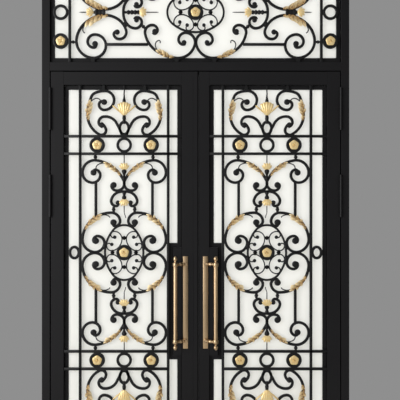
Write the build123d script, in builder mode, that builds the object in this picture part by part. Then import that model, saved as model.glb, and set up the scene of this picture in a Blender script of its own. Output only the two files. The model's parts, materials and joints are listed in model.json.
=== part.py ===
from build123d import *
from math import acos, cos, radians, sin
import os

# Double entrance door of wrought iron and milk glass: a steel frame with a transom light over
# two leaves that swing out on barrel hinges. Millimetres, +Z up, -Y is the outside (front).
# The origin is the middle of the threshold's underside.

os.makedirs("parts", exist_ok=True)

# ---- outer frame ----
frame_width = 2000
transom_opening = 652    # clear height of the transom light
frame_depth = 100
jamb_face = 52
head_face = 54
transom_bar_face = 57
transom_bar_top = 2634
threshold_height = 30
stop_width = 16          # how far the door stop reaches in behind a leaf
stop_gap = 5             # between a closed leaf and its stop
tube_chamfer = 1.5

# ---- leaves ----
leaf_depth = 50
leaf_gap = 6             # at the jambs, the transom bar and the threshold
meeting_gap = 9          # between the meeting strip and the right leaf
strip_width = 28
strip_proud = 4
hinge_stile_face = 84
lock_stile_face = 76     # beside the meeting strip
top_rail_face = 86
bottom_rail_face = 266
lock_box_width = 56
lock_box_height = 702
lock_box_base = 724      # above the floor

# ---- sashes and glass ----
sash_gap = 4
sash_face = 20
sash_depth = 22
sash_setback = 26        # leaf front to sash front
glass_thickness = 10
glass_bite = 8           # how far the glass sits in the sash
glass_clearance = 0.5

# ---- grilles ----
bar_width = 16
bar_depth = 16
oval_bar_width = 12      # the long oval in the middle of each pattern
fine_bar_width = 8       # small scrolls inside that oval
grille_setback = 6       # leaf front to the front of the bars
lock_margin = 85.5       # lock stile to the middle of the near upright
hinge_margin = 101.5     # hinge stile to the middle of the far upright
crest_height = 333.5     # leaf rail to the nearest bar of a ring band
band_spacing = 114       # between the two bars of a ring band
ring_spacing = 176
ring_sides = 10
ring_overlap = 1         # how deep a ring is let into its bars
oval_sides = 16
side_oval = (29, 36)     # half sizes of the oval beside the hinge-side upright
facet_sag = 2.2          # how far a scroll's flat facets cut inside its true curve
fine_facet_sag = 1.3
gilt_facet_sag = 0.05
snub_sides = 8
foot_half_width = 30     # of the blocks between a scroll and the frame
transom_margin = 128     # jamb to the middle of the transom's outer bars
transom_ring_rise = 188

# ---- gilding ----
rosette_radius = 37
rosette_height = 9
rosette_sides = 10
rosette_taper = 45
gilt_thickness = 6
leaf_lap = 9             # how far a gilt leaf reaches past the outside of its bar's middle line
leaf_reaches = (3, 20, 26, 19, 4)   # from that line to the leaf's inner edge, along its length

# ---- barrel hinges ----
barrel_radius = 10
barrel_length = 275
barrel_clearance = 0.3   # barrel to the faces that it turns past
pin_radius = 5
pin_clearance = 0.05
pin_length = 110
pin_headroom = 1         # between the top of a pin and the end of its bore
knuckle_gap = 0.5
weld_width = 7
hinge_heights = (278, 1763, 2329)

# ---- pull handles ----
handle_height = 1070     # middle of the handle above the floor
plate_width = 38
plate_length = 600
plate_thickness = 6
plate_inset = 46         # door centre line to the near edge of the plate
plate_corner = 3
grip_radius = 13
grip_length = 606
neck_radius = 9          # between the grip and the round knob at each end
neck_length = 4
grip_centre = 130        # door centre line to the grip
grip_standoff = 54       # plate face to the middle of the grip
collar_radius = 17
collar_length = 30
arm_spacing = 500
arm_radius = 8
arm_ring_radius = 11     # ring turned on the middle of an arm
arm_ring_length = 15
boss_radius = 13
boss_height = 13

# ---- sash fittings ----
sash_hinge_length = 80
sash_hinge_radius = 6
sash_hinge_heights = (465, 1800, 2250)
latch_length = 30
latch_height = 24
latch_position = 2090
transom_latch_position = 629

# ---- values worked out from the sizes above ----
frame_front = -frame_depth / 2
frame_back = frame_depth / 2
jamb_inner = frame_width / 2 - jamb_face
head_underside = transom_bar_top + transom_opening
frame_height = head_underside + head_face
transom_bar_base = transom_bar_top - transom_bar_face
leaf_front = frame_front
leaf_back = leaf_front + leaf_depth
leaf_outer = jamb_inner - leaf_gap
leaf_base = threshold_height + leaf_gap
leaf_top = transom_bar_base - leaf_gap
leaf_inner = {-1: strip_width / 2, 1: strip_width / 2 + meeting_gap}
hinge_stile_edge = leaf_outer - hinge_stile_face
lock_stile_edge = strip_width / 2 + lock_stile_face
recess_base = leaf_base + bottom_rail_face
recess_top = leaf_top - top_rail_face
stop_front = leaf_back + stop_gap
sash_front = leaf_front + sash_setback
sash_back = sash_front + sash_depth
glass_front = (sash_front + sash_back - glass_thickness) / 2
bars_front = leaf_front + grille_setback
sight_line = sash_gap + sash_face
pattern_middle = (recess_base + recess_top) / 2
transom_middle = (transom_bar_top + head_underside) / 2
ring_radius = (band_spacing - bar_width) / 2 + ring_overlap
hinge_axis_x = jamb_inner - leaf_gap / 2
hinge_axis_y = frame_front - barrel_radius - barrel_clearance
plate_front = leaf_front - plate_thickness
grip_y = plate_front - grip_standoff
plate_centre = plate_inset + plate_width / 2
knob_base = grip_length / 2 - 2 * grip_radius


def write(piece, label):
    """Name a finished piece and write its STEP file."""
    piece.part.label = label
    export_step(piece.part, f"parts/{label}.step")


def facade(y):
    """The drawing plane seen from the front at depth y: local x runs right and local y runs up."""
    return Plane.XZ.offset(-y)


def slab(xs, ys, zs, mode=Mode.ADD):
    """Add or cut a square-edged block given by its span along each axis."""
    with Locations((sum(xs) / 2, sum(ys) / 2, sum(zs) / 2)):
        Box(abs(xs[1] - xs[0]), abs(ys[1] - ys[0]), abs(zs[1] - zs[0]), mode=mode)


def ease_front(piece, axis):
    """Break the sharp front edges that run along the given axis."""
    edges = piece.edges().filter_by(axis).group_by(Axis.Y)[0]
    chamfer(edges, tube_chamfer)


def panel(xs, zs):
    """Draw a rectangle given by its span across and its span up."""
    with Locations((sum(xs) / 2, sum(zs) / 2)):
        Rectangle(abs(xs[1] - xs[0]), abs(zs[1] - zs[0]))


# ==== outer frame ====

for side, hand in ((-1, "left"), (1, "right")):
    with BuildPart() as jamb:
        slab((side * jamb_inner, side * frame_width / 2), (frame_front, frame_back), (0, frame_height))
        slab(
            (side * (jamb_inner - stop_width), side * jamb_inner),
            (stop_front, frame_back),
            (threshold_height, transom_bar_base),
        )
        ease_front(jamb, Axis.Z)
    write(jamb, f"jamb_{hand}")

with BuildPart() as head:
    slab((-jamb_inner, jamb_inner), (frame_front, frame_back), (head_underside, frame_height))
    ease_front(head, Axis.X)
write(head, "head")

with BuildPart() as transom_bar:
    slab((-jamb_inner, jamb_inner), (frame_front, frame_back), (transom_bar_base, transom_bar_top))
    stop_end = jamb_inner - stop_width
    stop_base = transom_bar_base - stop_width
    slab((-stop_end, stop_end), (stop_front, frame_back), (stop_base, transom_bar_base))
    ease_front(transom_bar, Axis.X)
write(transom_bar, "transom_bar")

with BuildPart() as threshold:
    slab((-jamb_inner, jamb_inner), (frame_front, frame_back), (0, threshold_height))
    ease_front(threshold, Axis.X)
write(threshold, "threshold")


# ==== glazing ====


def recess_outline(side, inset):
    """Draw a leaf's daylight opening, less the lock box, with every edge moved in by inset."""
    near = lock_stile_edge + inset
    panel(
        (side * near, side * (hinge_stile_edge - inset)),
        (recess_base + inset, recess_top - inset),
    )
    box_edge = lock_stile_edge + lock_box_width + inset
    with Locations((side * (near + box_edge) / 2, lock_box_base + lock_box_height / 2)):
        Rectangle(box_edge - near, lock_box_height + 2 * inset, mode=Mode.SUBTRACT)


def transom_outline(inset):
    """Draw the transom's opening with every edge moved in by inset."""
    panel(
        (-(jamb_inner - inset), jamb_inner - inset),
        (transom_bar_top + inset, head_underside - inset),
    )


def glaze(outline, sash_label, glass_label):
    """Build a sash with a groove for its glass, and the glass that sits in the groove."""
    with BuildPart() as sash:
        with BuildSketch(facade(sash_front)):
            outline(sash_gap)
            with BuildSketch(mode=Mode.PRIVATE) as daylight:
                outline(sight_line)
            add(daylight.sketch, mode=Mode.SUBTRACT)
        extrude(amount=-sash_depth)
        with BuildSketch(facade(glass_front)):
            outline(sight_line - glass_bite)
        extrude(amount=-glass_thickness, mode=Mode.SUBTRACT)
    write(sash, sash_label)

    with BuildPart() as glass:
        with BuildSketch(facade(glass_front)):
            outline(sight_line - glass_bite + glass_clearance)
        extrude(amount=-glass_thickness)
    write(glass, glass_label)


glaze(transom_outline, "transom_sash", "transom_glass")


# ==== leaves ====

for side, hand in ((-1, "left"), (1, "right")):
    leaf_ys = (leaf_front, leaf_back)

    with BuildPart() as hinge_stile:
        slab((side * hinge_stile_edge, side * leaf_outer), leaf_ys, (leaf_base, leaf_top))
        ease_front(hinge_stile, Axis.Z)
    write(hinge_stile, f"{hand}_hinge_stile")

    with BuildPart() as lock_stile:
        slab((side * leaf_inner[side], side * lock_stile_edge), leaf_ys, (leaf_base, leaf_top))
        ease_front(lock_stile, Axis.Z)
    write(lock_stile, f"{hand}_lock_stile")

    rail_xs = (side * lock_stile_edge, side * hinge_stile_edge)
    with BuildPart() as top_rail:
        slab(rail_xs, leaf_ys, (recess_top, leaf_top))
        ease_front(top_rail, Axis.X)
    write(top_rail, f"{hand}_top_rail")

    with BuildPart() as bottom_rail:
        slab(rail_xs, leaf_ys, (leaf_base, recess_base))
        ease_front(bottom_rail, Axis.X)
    write(bottom_rail, f"{hand}_bottom_rail")

    with BuildPart() as lock_box:
        slab(
            (side * lock_stile_edge, side * (lock_stile_edge + lock_box_width)),
            leaf_ys,
            (lock_box_base, lock_box_base + lock_box_height),
        )
        ease_front(lock_box, Axis.Z)
    write(lock_box, f"{hand}_lock_box")

    glaze(lambda inset: recess_outline(side, inset), f"{hand}_sash", f"{hand}_glass")

with BuildPart() as meeting_strip:
    strip_ys = (leaf_front - strip_proud, leaf_back)
    slab((-strip_width / 2, strip_width / 2), strip_ys, (leaf_base, leaf_top))
    ease_front(meeting_strip, Axis.Z)
write(meeting_strip, "left_meeting_strip")


# ==== hinges ====


def barrel(side, middle, half):
    """Add one half of a barrel hinge: half is -1 for the frame's lower one, 1 for the leaf's."""
    half_length = (barrel_length - knuckle_gap) / 2
    start = middle + half * knuckle_gap / 2
    end = start + half * half_length
    weld_middle = hinge_axis_x - half * (leaf_gap + weld_width) / 2
    with BuildSketch(Plane.XY.offset(min(start, end))) as section:
        with Locations((side * hinge_axis_x, hinge_axis_y)):
            Circle(barrel_radius)
        with Locations((side * weld_middle, (hinge_axis_y + frame_front) / 2)):
            Rectangle(weld_width, frame_front - hinge_axis_y)
    extrude(section.sketch, amount=half_length)


def pin(side, middle, radius, length, mode=Mode.ADD):
    """Add or cut a pin that stands up from the frame half of a hinge."""
    with BuildSketch(Plane.XY.offset(middle - knuckle_gap / 2)) as section:
        with Locations((side * hinge_axis_x, hinge_axis_y)):
            Circle(radius)
    extrude(section.sketch, amount=length, mode=mode)


for side, hand in ((-1, "left"), (1, "right")):
    with BuildPart() as hinge_posts:
        for height in hinge_heights:
            barrel(side, height, -1)
            pin(side, height, pin_radius, pin_length)
    write(hinge_posts, f"hinge_posts_{hand}")

    with BuildPart() as hinge_barrels:
        for height in hinge_heights:
            barrel(side, height, 1)
            pin(side, height, pin_radius + pin_clearance, pin_length + pin_headroom, mode=Mode.SUBTRACT)
    write(hinge_barrels, f"{hand}_hinge_barrels")


# ==== pull handles ====

for side, hand in ((-1, "left"), (1, "right")):
    with BuildPart() as handle_plate:
        with BuildSketch(facade(leaf_front)):
            with Locations((side * plate_centre, handle_height)):
                RectangleRounded(plate_width, plate_length, plate_corner)
        extrude(amount=plate_thickness)
    write(handle_plate, f"{hand}_handle_plate")

    arm_heights = (handle_height - arm_spacing / 2, handle_height + arm_spacing / 2)
    with BuildPart() as handle_grip:
        grip_middle = (side * grip_centre, grip_y, handle_height)
        with BuildSketch(Plane(origin=grip_middle, x_dir=(1, 0, 0), z_dir=(0, -1, 0))):
            with BuildLine():
                Polyline(
                    (0, 0),
                    (grip_radius, 0),
                    (grip_radius, (arm_spacing - collar_length) / 2),
                    (collar_radius, (arm_spacing - collar_length) / 2),
                    (collar_radius, (arm_spacing + collar_length) / 2),
                    (grip_radius, (arm_spacing + collar_length) / 2),
                    (grip_radius, knob_base - neck_length),
                    (neck_radius, knob_base - neck_length),
                    (neck_radius, knob_base),
                    (grip_radius, knob_base),
                    (grip_radius, grip_length / 2),
                    (0, grip_length / 2),
                    close=True,
                )
            make_face()
            mirror(about=Plane.XZ)
        revolve(axis=Axis(grip_middle, (0, 0, 1)))
        for height in arm_heights:
            seat = Vector(side * plate_centre, plate_front, height)
            arm = Vector(side * grip_centre, grip_y, height) - seat
            root = arm_radius * abs(arm.X / arm.Y)
            start = seat + arm.normalized() * root
            length = arm.length - root
            with BuildSketch(Plane(origin=start, x_dir=(0, 0, 1), z_dir=Vector(0, 0, 1).cross(arm))):
                with BuildLine():
                    Polyline(
                        (0, 0),
                        (arm_radius, 0),
                        (arm_radius, (length - arm_ring_length) / 2),
                        (arm_ring_radius, (length - arm_ring_length) / 2),
                        (arm_ring_radius, (length + arm_ring_length) / 2),
                        (arm_radius, (length + arm_ring_length) / 2),
                        (arm_radius, length),
                        (0, length),
                        close=True,
                    )
                make_face()
            revolve(axis=Axis(start, arm))
            with BuildSketch(Plane(origin=seat, z_dir=(0, -1, 0))):
                Circle(boss_radius)
            extrude(amount=boss_height)
    write(handle_grip, f"{hand}_handle_grip")


# ==== sash fittings ====

for side, hand in ((-1, "left"), (1, "right")):
    with BuildPart() as sash_hinges:
        for height in sash_hinge_heights:
            slab(
                (side * (hinge_stile_edge - sash_gap), side * hinge_stile_edge),
                (sash_front - sash_hinge_radius, sash_front + sash_hinge_radius),
                (height - sash_hinge_length / 2, height + sash_hinge_length / 2),
            )
    write(sash_hinges, f"{hand}_sash_hinges")

    with BuildPart() as sash_latch:
        slab(
            (side * lock_stile_edge, side * (lock_stile_edge + sash_gap)),
            (sash_front, sash_back),
            (latch_position - latch_height / 2, latch_position + latch_height / 2),
        )
    write(sash_latch, f"{hand}_sash_latch")

with BuildPart() as transom_latches:
    for position in (-transom_latch_position, transom_latch_position):
        slab(
            (position - latch_length / 2, position + latch_length / 2),
            (sash_front, sash_back),
            (transom_bar_top, transom_bar_top + sash_gap),
        )
write(transom_latches, "transom_latches")


# ==== ironwork ====

# A scroll is (start, heading, arcs): where its bar starts, which way that end points, in degrees
# from +x, and then arcs of (radius, turn). A right turn is negative. Starts are drawn on the
# upper hinge-side quarter of a leaf's pattern, from its middle, with the hinge side at -x.
drawn_reach = 276        # middle of the pattern to the outside of the widest scroll
drawn_field = 644        # and to the inner bar of the ring band
drawn_crest = 333.5      # ring band to leaf rail
great_scroll = (
    (-127, 224),
    142,
    ((22, 126), (35, 98), (66, 71), (58, 113), (137, 79), (165, 62), (30, 135), (64, 34)),
)
shoulder_scroll = ((-140, 61), 168, ((31, -86), (38, -75), (82, -66), (410, -14)))
field_scroll = (
    (-198, 519),
    114,
    (
        (15, -131), (36, -75), (50, -92), (66, -85), (80, -98), (220, -41), (241, -17), (47, -127),
        (33, -70), (16, -60),
    ),
)
heart_scroll = ((10, 394), 161, ((72, 94), (33, 102), (14, 90)))
oval_side_scroll = (
    (-69, 194),
    234,
    (
        (14, 134), (34, 91), (58, 81), (188, 45), (182, 39), (84, 85), (59, 91), (44, 97), (33, 77),
        (20, 60),
    ),
)
crest_snubs = ((-129, 223, 19), (-145, 73, 18))
crest_foot = (-133, 292)          # block between the great scroll and the leaf's rail
field_stay = (-184, 232, 456)     # upright from the lower scroll to the upper one
oval_ring = (53, 29, 40)          # its height above the band and its half sizes
field_snubs = ((-198, 521, 19), (-68, 440, 19), (-41, 325, 14), (-69, 196, 18), (-192, 70, 19))

# Beads between two bars: place, width, height and turn.
field_beads = ((-186, 622, 24, 36, 0), (-68, 281, 24, 40, 0), (-124, 40, 26, 46, 0))

# One of the four small scrolls inside the oval, which is drawn 119 by 179 to its middle line.
drawn_oval = (119, 179)
fine_scroll = (
    (-64, 97),
    194,
    ((18, -109), (24, -89), (50, -89), (81, -68), (34, -106), (16, -106), (23, -39)),
)
fine_snubs = ((-61, 100, 10), (-80, 53, 10))

fine_beads = ((0, 95, 34, 24, 0), (-76, 0, 24, 34, 0))
fine_tie = (-76, 4)       # where the tie from the ring ends, and half its width

# The transom's scrolls are drawn on its lower left quarter.
drawn_transom = (820, 326)
twin_scroll = (
    (-648, -212),
    -82,
    (
        (16, -96), (39, -99), (47, -82), (72, -92), (81, -90), (112, -100), (166, -34),
        (208, -36), (152, -40), (135, -42), (45, -125), (34, -56), (19, -88),
    ),
)
clasp_scroll = ((-397, -45), 84, ((12, -70), (30, -108), (42, -93), (72, -42), (111, -47)))
foot_scroll = (
    (-277, -133),
    -62,
    (
        (12, 90), (25, 79), (35, 69), (47, 104), (172, 42), (257, 35), (113, 81), (63, 95), (47, 90),
        (32, 91), (14, 60),
    ),
)
transom_snubs = (
    (-655, -206, 19), (-511, -129, 17), (-385, -51, 16), (-266, -125, 17), (-75, -197, 16),
)
transom_beads = ((-796, -194, 38, 22, 0), (-458, -80, 22, 34, 30), (-340, -94, 32, 24, -45))
transom_feet = ((-669, -298), (-123, -303))
transom_tie = (-585, -309, -210)  # level bar between two scrolls
drawn_transom_oval = (184, 130)

# Pieces turned about the centre line, as pairs of station and half width: stations run up from
# the ring band in the crest, up from the middle in the field, and out from the middle in the
# transom.
crest_stem = (
    (88, 8), (96, 13), (106, 13), (114, 9), (124, 14), (136, 13), (141, 4),
    (222, 4), (226, 9), (238, 8), (248, 4), (333.5, 4),
)
field_stem = (
    (462, 6), (478, 14), (490, 14), (500, 8), (512, 9), (530, 15), (541, 13), (545, 4), (637, 4),
)
heart_stem = (
    (240, 1), (262, 4), (343, 4), (349, 13), (364, 14), (374, 9), (388, 13), (396, 13),
)
transom_collar = ((588, 27), (650, 27), (652, 11), (670, 7), (674, 4), (744, 4), (760, 1))
transom_spindle = (
    (240, 1), (262, 4), (362, 4), (366, 10), (372, 15), (382, 11), (393, 15), (404, 11),
    (415, 15), (426, 11), (437, 15), (448, 9), (466, 9),
)

# Gilt pieces: leaves as distances along their scrolls, buds as the station of their base.
great_leaf = (415, 560)
field_leaf = (405, 580)
oval_side_leaf = (245, 370)
twin_leaf = (685, 835)
foot_leaf = (330, 445)
field_bud = 540
heart_bud = 348
collar_bud = 668
spindle_bud = 364
palmette = ((142, 14), (150, 30), (172, 54), (200, 63), (222, 50), (212, 34), (224, 12))
bud = ((0, 12), (10, 24), (24, 26), (40, 15), (50, 5))

hinge_upright = hinge_stile_edge - hinge_margin
lock_upright = lock_stile_edge + lock_margin
grille_centre = (hinge_upright + lock_upright) / 2
upright = (hinge_upright - lock_upright) / 2
leaf_hinge_edge = hinge_stile_edge - grille_centre
leaf_lock_edge = grille_centre - lock_stile_edge
recess_half = (recess_top - recess_base) / 2
band_outer = recess_half - crest_height
band_inner = band_outer - band_spacing
band_middle = (band_outer + band_inner) / 2
leaf_stretch = (upright - bar_width / 2 + ring_overlap) / drawn_reach
field_stretch = band_inner / drawn_field
crest_stretch = crest_height / drawn_crest
transom_half = (head_underside - transom_bar_top) / 2
transom_upright = jamb_inner - transom_margin


def forge(scroll, stretch, rise=0, sag=facet_sag):
    """List the points of a scroll's middle line, stretched to fit and then raised."""
    (x, z), heading, arcs = scroll
    points = [(x, z)]
    for radius, turn in arcs:
        chords = max(1, round(radians(abs(turn)) / acos(1 - sag / radius) / 2))
        bend = turn / chords
        length = 2 * radius * sin(radians(abs(bend) / 2))
        for _ in range(chords):
            x += length * cos(radians(heading + bend / 2))
            z += length * sin(radians(heading + bend / 2))
            heading += bend
            points.append((x, z))
    return [Vector(x * stretch[0], z * stretch[1] + rise) for x, z in points]


def beside(points, reaches):
    """Offset a middle line to its left by a reach for each point."""
    edge = []
    for index, (point, reach) in enumerate(zip(points, reaches)):
        before = points[max(index - 1, 0)]
        after = points[min(index + 1, len(points) - 1)]
        along = (after - before).normalized()
        edge.append(point + Vector(-along.Y, along.X) * reach)
    return edge


def bar(points, width=bar_width):
    """Draw a bar of even width along a middle line."""
    left = beside(points, [width / 2] * len(points))
    right = beside(points, [-width / 2] * len(points))
    Polygon(*left, *reversed(right), align=None)


def snub(x, z, radius, stretch, rise=0):
    """Draw the rolled-up end of a scroll."""
    with Locations((x * stretch[0], z * stretch[1] + rise)):
        RegularPolygon(radius, snub_sides)


def rings(centres):
    """Draw the rings of bar that stand between the two bars of a ring band."""
    with Locations(*centres):
        RegularPolygon(ring_radius, ring_sides, major_radius=False)
        RegularPolygon(ring_radius - bar_width, ring_sides, major_radius=False, mode=Mode.SUBTRACT)


def oval(centre, half_width, half_height, width=bar_width):
    """Draw an oval ring of bar with its middle line at the given half sizes."""
    angles = [radians(360 * n / oval_sides) for n in range(oval_sides)]
    with Locations(centre):
        for reach, mode in ((width / 2, Mode.ADD), (-width / 2, Mode.SUBTRACT)):
            outline = [((half_width + reach) * cos(a), (half_height + reach) * sin(a)) for a in angles]
            Polygon(*outline, align=None, mode=mode)


def turned(profile, turn=0):
    """Draw a piece turned about the pattern's upright centre line from (station, half width) pairs."""
    near = [(half, station) for station, half in profile]
    far = [(-half, station) for station, half in reversed(profile)]
    Polygon(*near, *far, rotation=turn, align=None)


def bead(x, z, across, along, turn, stretch):
    """Draw a bead: a block with its corners cut."""
    across *= stretch[0]
    along *= stretch[1]
    with Locations((x * stretch[0], z * stretch[1])):
        Polygon(
            (-across / 2, -along / 4),
            (-across / 4, -along / 2),
            (across / 4, -along / 2),
            (across / 2, -along / 4),
            (across / 2, along / 4),
            (across / 4, along / 2),
            (-across / 4, along / 2),
            (-across / 2, along / 4),
            rotation=turn,
            align=None,
        )


def medallion(half_width, half_height):
    """Draw the long oval with its ring, its four small scrolls and the beads between them."""
    stretch = (half_width / drawn_oval[0], half_height / drawn_oval[1])
    with BuildSketch(mode=Mode.PRIVATE) as filling:
        bar(forge(fine_scroll, stretch, sag=fine_facet_sag), fine_bar_width)
        for snub_end in fine_snubs:
            snub(*snub_end, stretch)
        for shape in fine_beads:
            bead(*shape, stretch)
        mirror(about=Plane.YZ)
        mirror(about=Plane.XZ)
        rings([(0, 0)])
        for side in (-1, 1):
            tie_ends = (side * (ring_radius - ring_overlap), -side * fine_tie[0] * stretch[0])
            panel(tie_ends, (-fine_tie[1], fine_tie[1]))
    oval((0, 0), half_width, half_height, oval_bar_width)
    add(filling.sketch)


def gilt_leaf(scroll, begin, end, stretch, rise=0):
    """Draw a leaf along a scroll between two distances from the scroll's start."""
    line = forge(scroll, stretch, rise, gilt_facet_sag)
    travelled = [0]
    for before, after in zip(line, line[1:]):
        travelled.append(travelled[-1] + (after - before).length)
    steps = len(leaf_reaches) - 1
    stations = []
    for step in range(steps + 1):
        distance = begin + (end - begin) * step / steps
        stations.append(line[min(range(len(line)), key=lambda n: abs(travelled[n] - distance))])
    hand = 1 if scroll[2][0][1] > 0 else -1
    inner = beside(stations, [hand * reach for reach in leaf_reaches])
    outer = beside(stations, [-hand * leaf_lap] * len(stations))
    Polygon(*inner, *reversed(outer), align=None)


def gilt_bud(base, direction, turn=0):
    """Draw a tulip bud that opens from its base along the centre line."""
    turned([(base + direction * station, half) for station, half in bud], turn)


field = (leaf_stretch, field_stretch)
crest = (leaf_stretch, crest_stretch)

with BuildSketch() as leaf_scrolls:
    bar(forge(great_scroll, crest, band_outer))
    bar(forge(shoulder_scroll, crest, band_outer))
    bar(forge(field_scroll, field))
    bar(forge(heart_scroll, field))
    bar(forge(oval_side_scroll, field))
    for snub_end in crest_snubs:
        snub(*snub_end, crest, band_outer)
    for snub_end in field_snubs:
        snub(*snub_end, field)
    foot = crest_foot[0] * crest[0]
    foot_base = band_outer + crest_foot[1] * crest[1]
    panel((foot - foot_half_width, foot + foot_half_width), (foot_base, recess_half))
    stay = field_stay[0] * field[0]
    stay_ends = (field_stay[1] * field[1], field_stay[2] * field[1])
    panel((stay - bar_width / 2, stay + bar_width / 2), stay_ends)
    for shape in field_beads:
        bead(*shape, field)
    turned([(band_outer + station * crest[1], half) for station, half in crest_stem])
    turned([(station * field[1], half) for station, half in field_stem])
    turned([(station * field[1], half) for station, half in heart_stem])
    mirror(about=Plane.YZ)
    mirror(about=Plane.XZ)

# The left leaf's pattern about its own middle, with the hinge side at -x.
with BuildSketch() as leaf_pattern:
    for x in (-upright, upright):
        panel((x - bar_width / 2, x + bar_width / 2), (-recess_half, recess_half))
    for z in (band_inner, band_outer):
        panel((-leaf_hinge_edge, leaf_lock_edge), (z - bar_width / 2, z + bar_width / 2))
        panel((-leaf_hinge_edge, upright), (-z - bar_width / 2, -z + bar_width / 2))
    rings([(x, z) for z in (-band_middle, band_middle) for x in (-ring_spacing, 0, ring_spacing)])
    for side in (-1, 1):
        rise, half_width, half_height = oval_ring
        middle = side * (band_outer + rise * crest[1])
        oval((0, middle), half_width * crest[0], half_height * crest[1])
    oval((-(upright + bar_width / 2 + side_oval[0]), 0), *side_oval)
    medallion(drawn_oval[0] * field[0], drawn_oval[1] * field[1])
    add(leaf_scrolls.sketch)

with BuildSketch() as leaf_foliage:
    gilt_leaf(great_scroll, *great_leaf, crest, band_outer)
    gilt_leaf(field_scroll, *field_leaf, field)
    gilt_leaf(oval_side_scroll, *oval_side_leaf, field)
    mirror(about=Plane.YZ)
    mirror(about=Plane.XZ)

with BuildSketch() as leaf_buds:
    turned([(band_outer + station * crest[1], half) for station, half in palmette])
    gilt_bud(field_bud * field[1], 1)
    gilt_bud(heart_bud * field[1], -1)
    mirror(about=Plane.XZ)

# ---- the transom's pattern about its own middle ----

transom_stretch = (transom_upright / drawn_transom[0], transom_half / drawn_transom[1])

with BuildSketch() as transom_scrolls:
    bar(forge(twin_scroll, transom_stretch))
    bar(forge(clasp_scroll, transom_stretch))
    bar(forge(foot_scroll, transom_stretch))
    for snub_end in transom_snubs:
        snub(*snub_end, transom_stretch)
    for x, z in transom_feet:
        foot = x * transom_stretch[0]
        panel((foot - foot_half_width, foot + foot_half_width), (z * transom_stretch[1], -transom_half))
    tie = transom_tie[2] * transom_stretch[1]
    tie_ends = (transom_tie[0] * transom_stretch[0], transom_tie[1] * transom_stretch[0])
    panel(tie_ends, (tie - bar_width / 2, tie + bar_width / 2))
    for shape in transom_beads:
        bead(*shape, transom_stretch)
    turned([(station * transom_stretch[0], half) for station, half in transom_collar], 90)
    turned([(station * transom_stretch[0], half) for station, half in transom_spindle], 90)
    mirror(about=Plane.YZ)
    mirror(about=Plane.XZ)

transom_ring_x = transom_upright + bar_width / 2 + ring_radius - ring_overlap

with BuildSketch() as transom_medallion:
    medallion(drawn_transom_oval[1] * transom_stretch[1], drawn_transom_oval[0] * transom_stretch[0])

with BuildSketch() as transom_pattern:
    for side in (-1, 1):
        x = side * transom_upright
        panel((x - bar_width / 2, x + bar_width / 2), (-transom_half, transom_half))
        rings([(side * transom_ring_x, rise) for rise in (-transom_ring_rise, 0, transom_ring_rise)])
    add(transom_medallion.sketch, rotation=90)
    add(transom_scrolls.sketch)

with BuildSketch() as transom_foliage:
    gilt_leaf(twin_scroll, *twin_leaf, transom_stretch)
    gilt_leaf(foot_scroll, *foot_leaf, transom_stretch)
    mirror(about=Plane.YZ)
    mirror(about=Plane.XZ)

with BuildSketch() as transom_buds:
    gilt_bud(collar_bud * transom_stretch[0], 1, 90)
    gilt_bud(spindle_bud * transom_stretch[0], -1, 90)
    mirror(about=Plane.YZ)


def gild(pattern, thickness, plane):
    """Cut flat gilt pieces that lie on the front of the bars."""
    with BuildSketch(plane) as blank:
        add(pattern.sketch)
    extrude(blank.sketch, amount=thickness)


def fix_rosettes(places, plane):
    """Set a rosette on the front of each ring at the given places."""
    with BuildSketch(plane) as blank:
        with Locations(*places):
            RegularPolygon(rosette_radius, rosette_sides)
    extrude(blank.sketch, amount=rosette_height, taper=rosette_taper)


leaf_rosette_places = [(0, 0)]
for z in (-band_middle, band_middle):
    leaf_rosette_places += [(-ring_spacing, z), (ring_spacing, z)]
transom_rosette_places = [(0, 0)]
for z in (-transom_ring_rise, transom_ring_rise):
    transom_rosette_places += [(-transom_ring_x, z), (transom_ring_x, z)]

for side, hand in ((-1, "left"), (1, "right")):
    front = Plane(
        origin=(side * grille_centre, bars_front, pattern_middle),
        x_dir=(-side, 0, 0),
        z_dir=(0, side, 0),
    )
    with BuildPart() as grille:
        with BuildSketch(front):
            add(leaf_pattern.sketch)
        extrude(amount=side * bar_depth)
    write(grille, f"{hand}_grille")

    with BuildPart() as rosettes:
        fix_rosettes(leaf_rosette_places, Plane(front.origin, x_dir=(1, 0, 0), z_dir=(0, -1, 0)))
    write(rosettes, f"{hand}_rosettes")

    with BuildPart() as gilt_leaves:
        gild(leaf_foliage, -side * gilt_thickness, front)
    write(gilt_leaves, f"{hand}_gilt_leaves")

    with BuildPart() as gilt_buds:
        gild(leaf_buds, -side * gilt_thickness, front)
    write(gilt_buds, f"{hand}_gilt_buds")

transom_front = Plane((0, bars_front, transom_middle), x_dir=(1, 0, 0), z_dir=(0, -1, 0))
with BuildPart() as transom_grille:
    with BuildSketch(transom_front):
        add(transom_pattern.sketch)
    extrude(amount=-bar_depth)
write(transom_grille, "transom_grille")

with BuildPart() as transom_gilding:
    gild(transom_foliage, gilt_thickness, transom_front)
    gild(transom_buds, gilt_thickness, transom_front)
    fix_rosettes(transom_rosette_places, transom_front)
write(transom_gilding, "transom_gilding")
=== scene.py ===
"""Looks of a double entrance door: wrought-iron scrollwork with gilt leaves before milk glass."""

import json
from math import atan2, copysign, cos, degrees, pi, radians, sin
from types import SimpleNamespace

import bmesh
import bpy
from mathutils import Euler, Matrix, Vector

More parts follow.
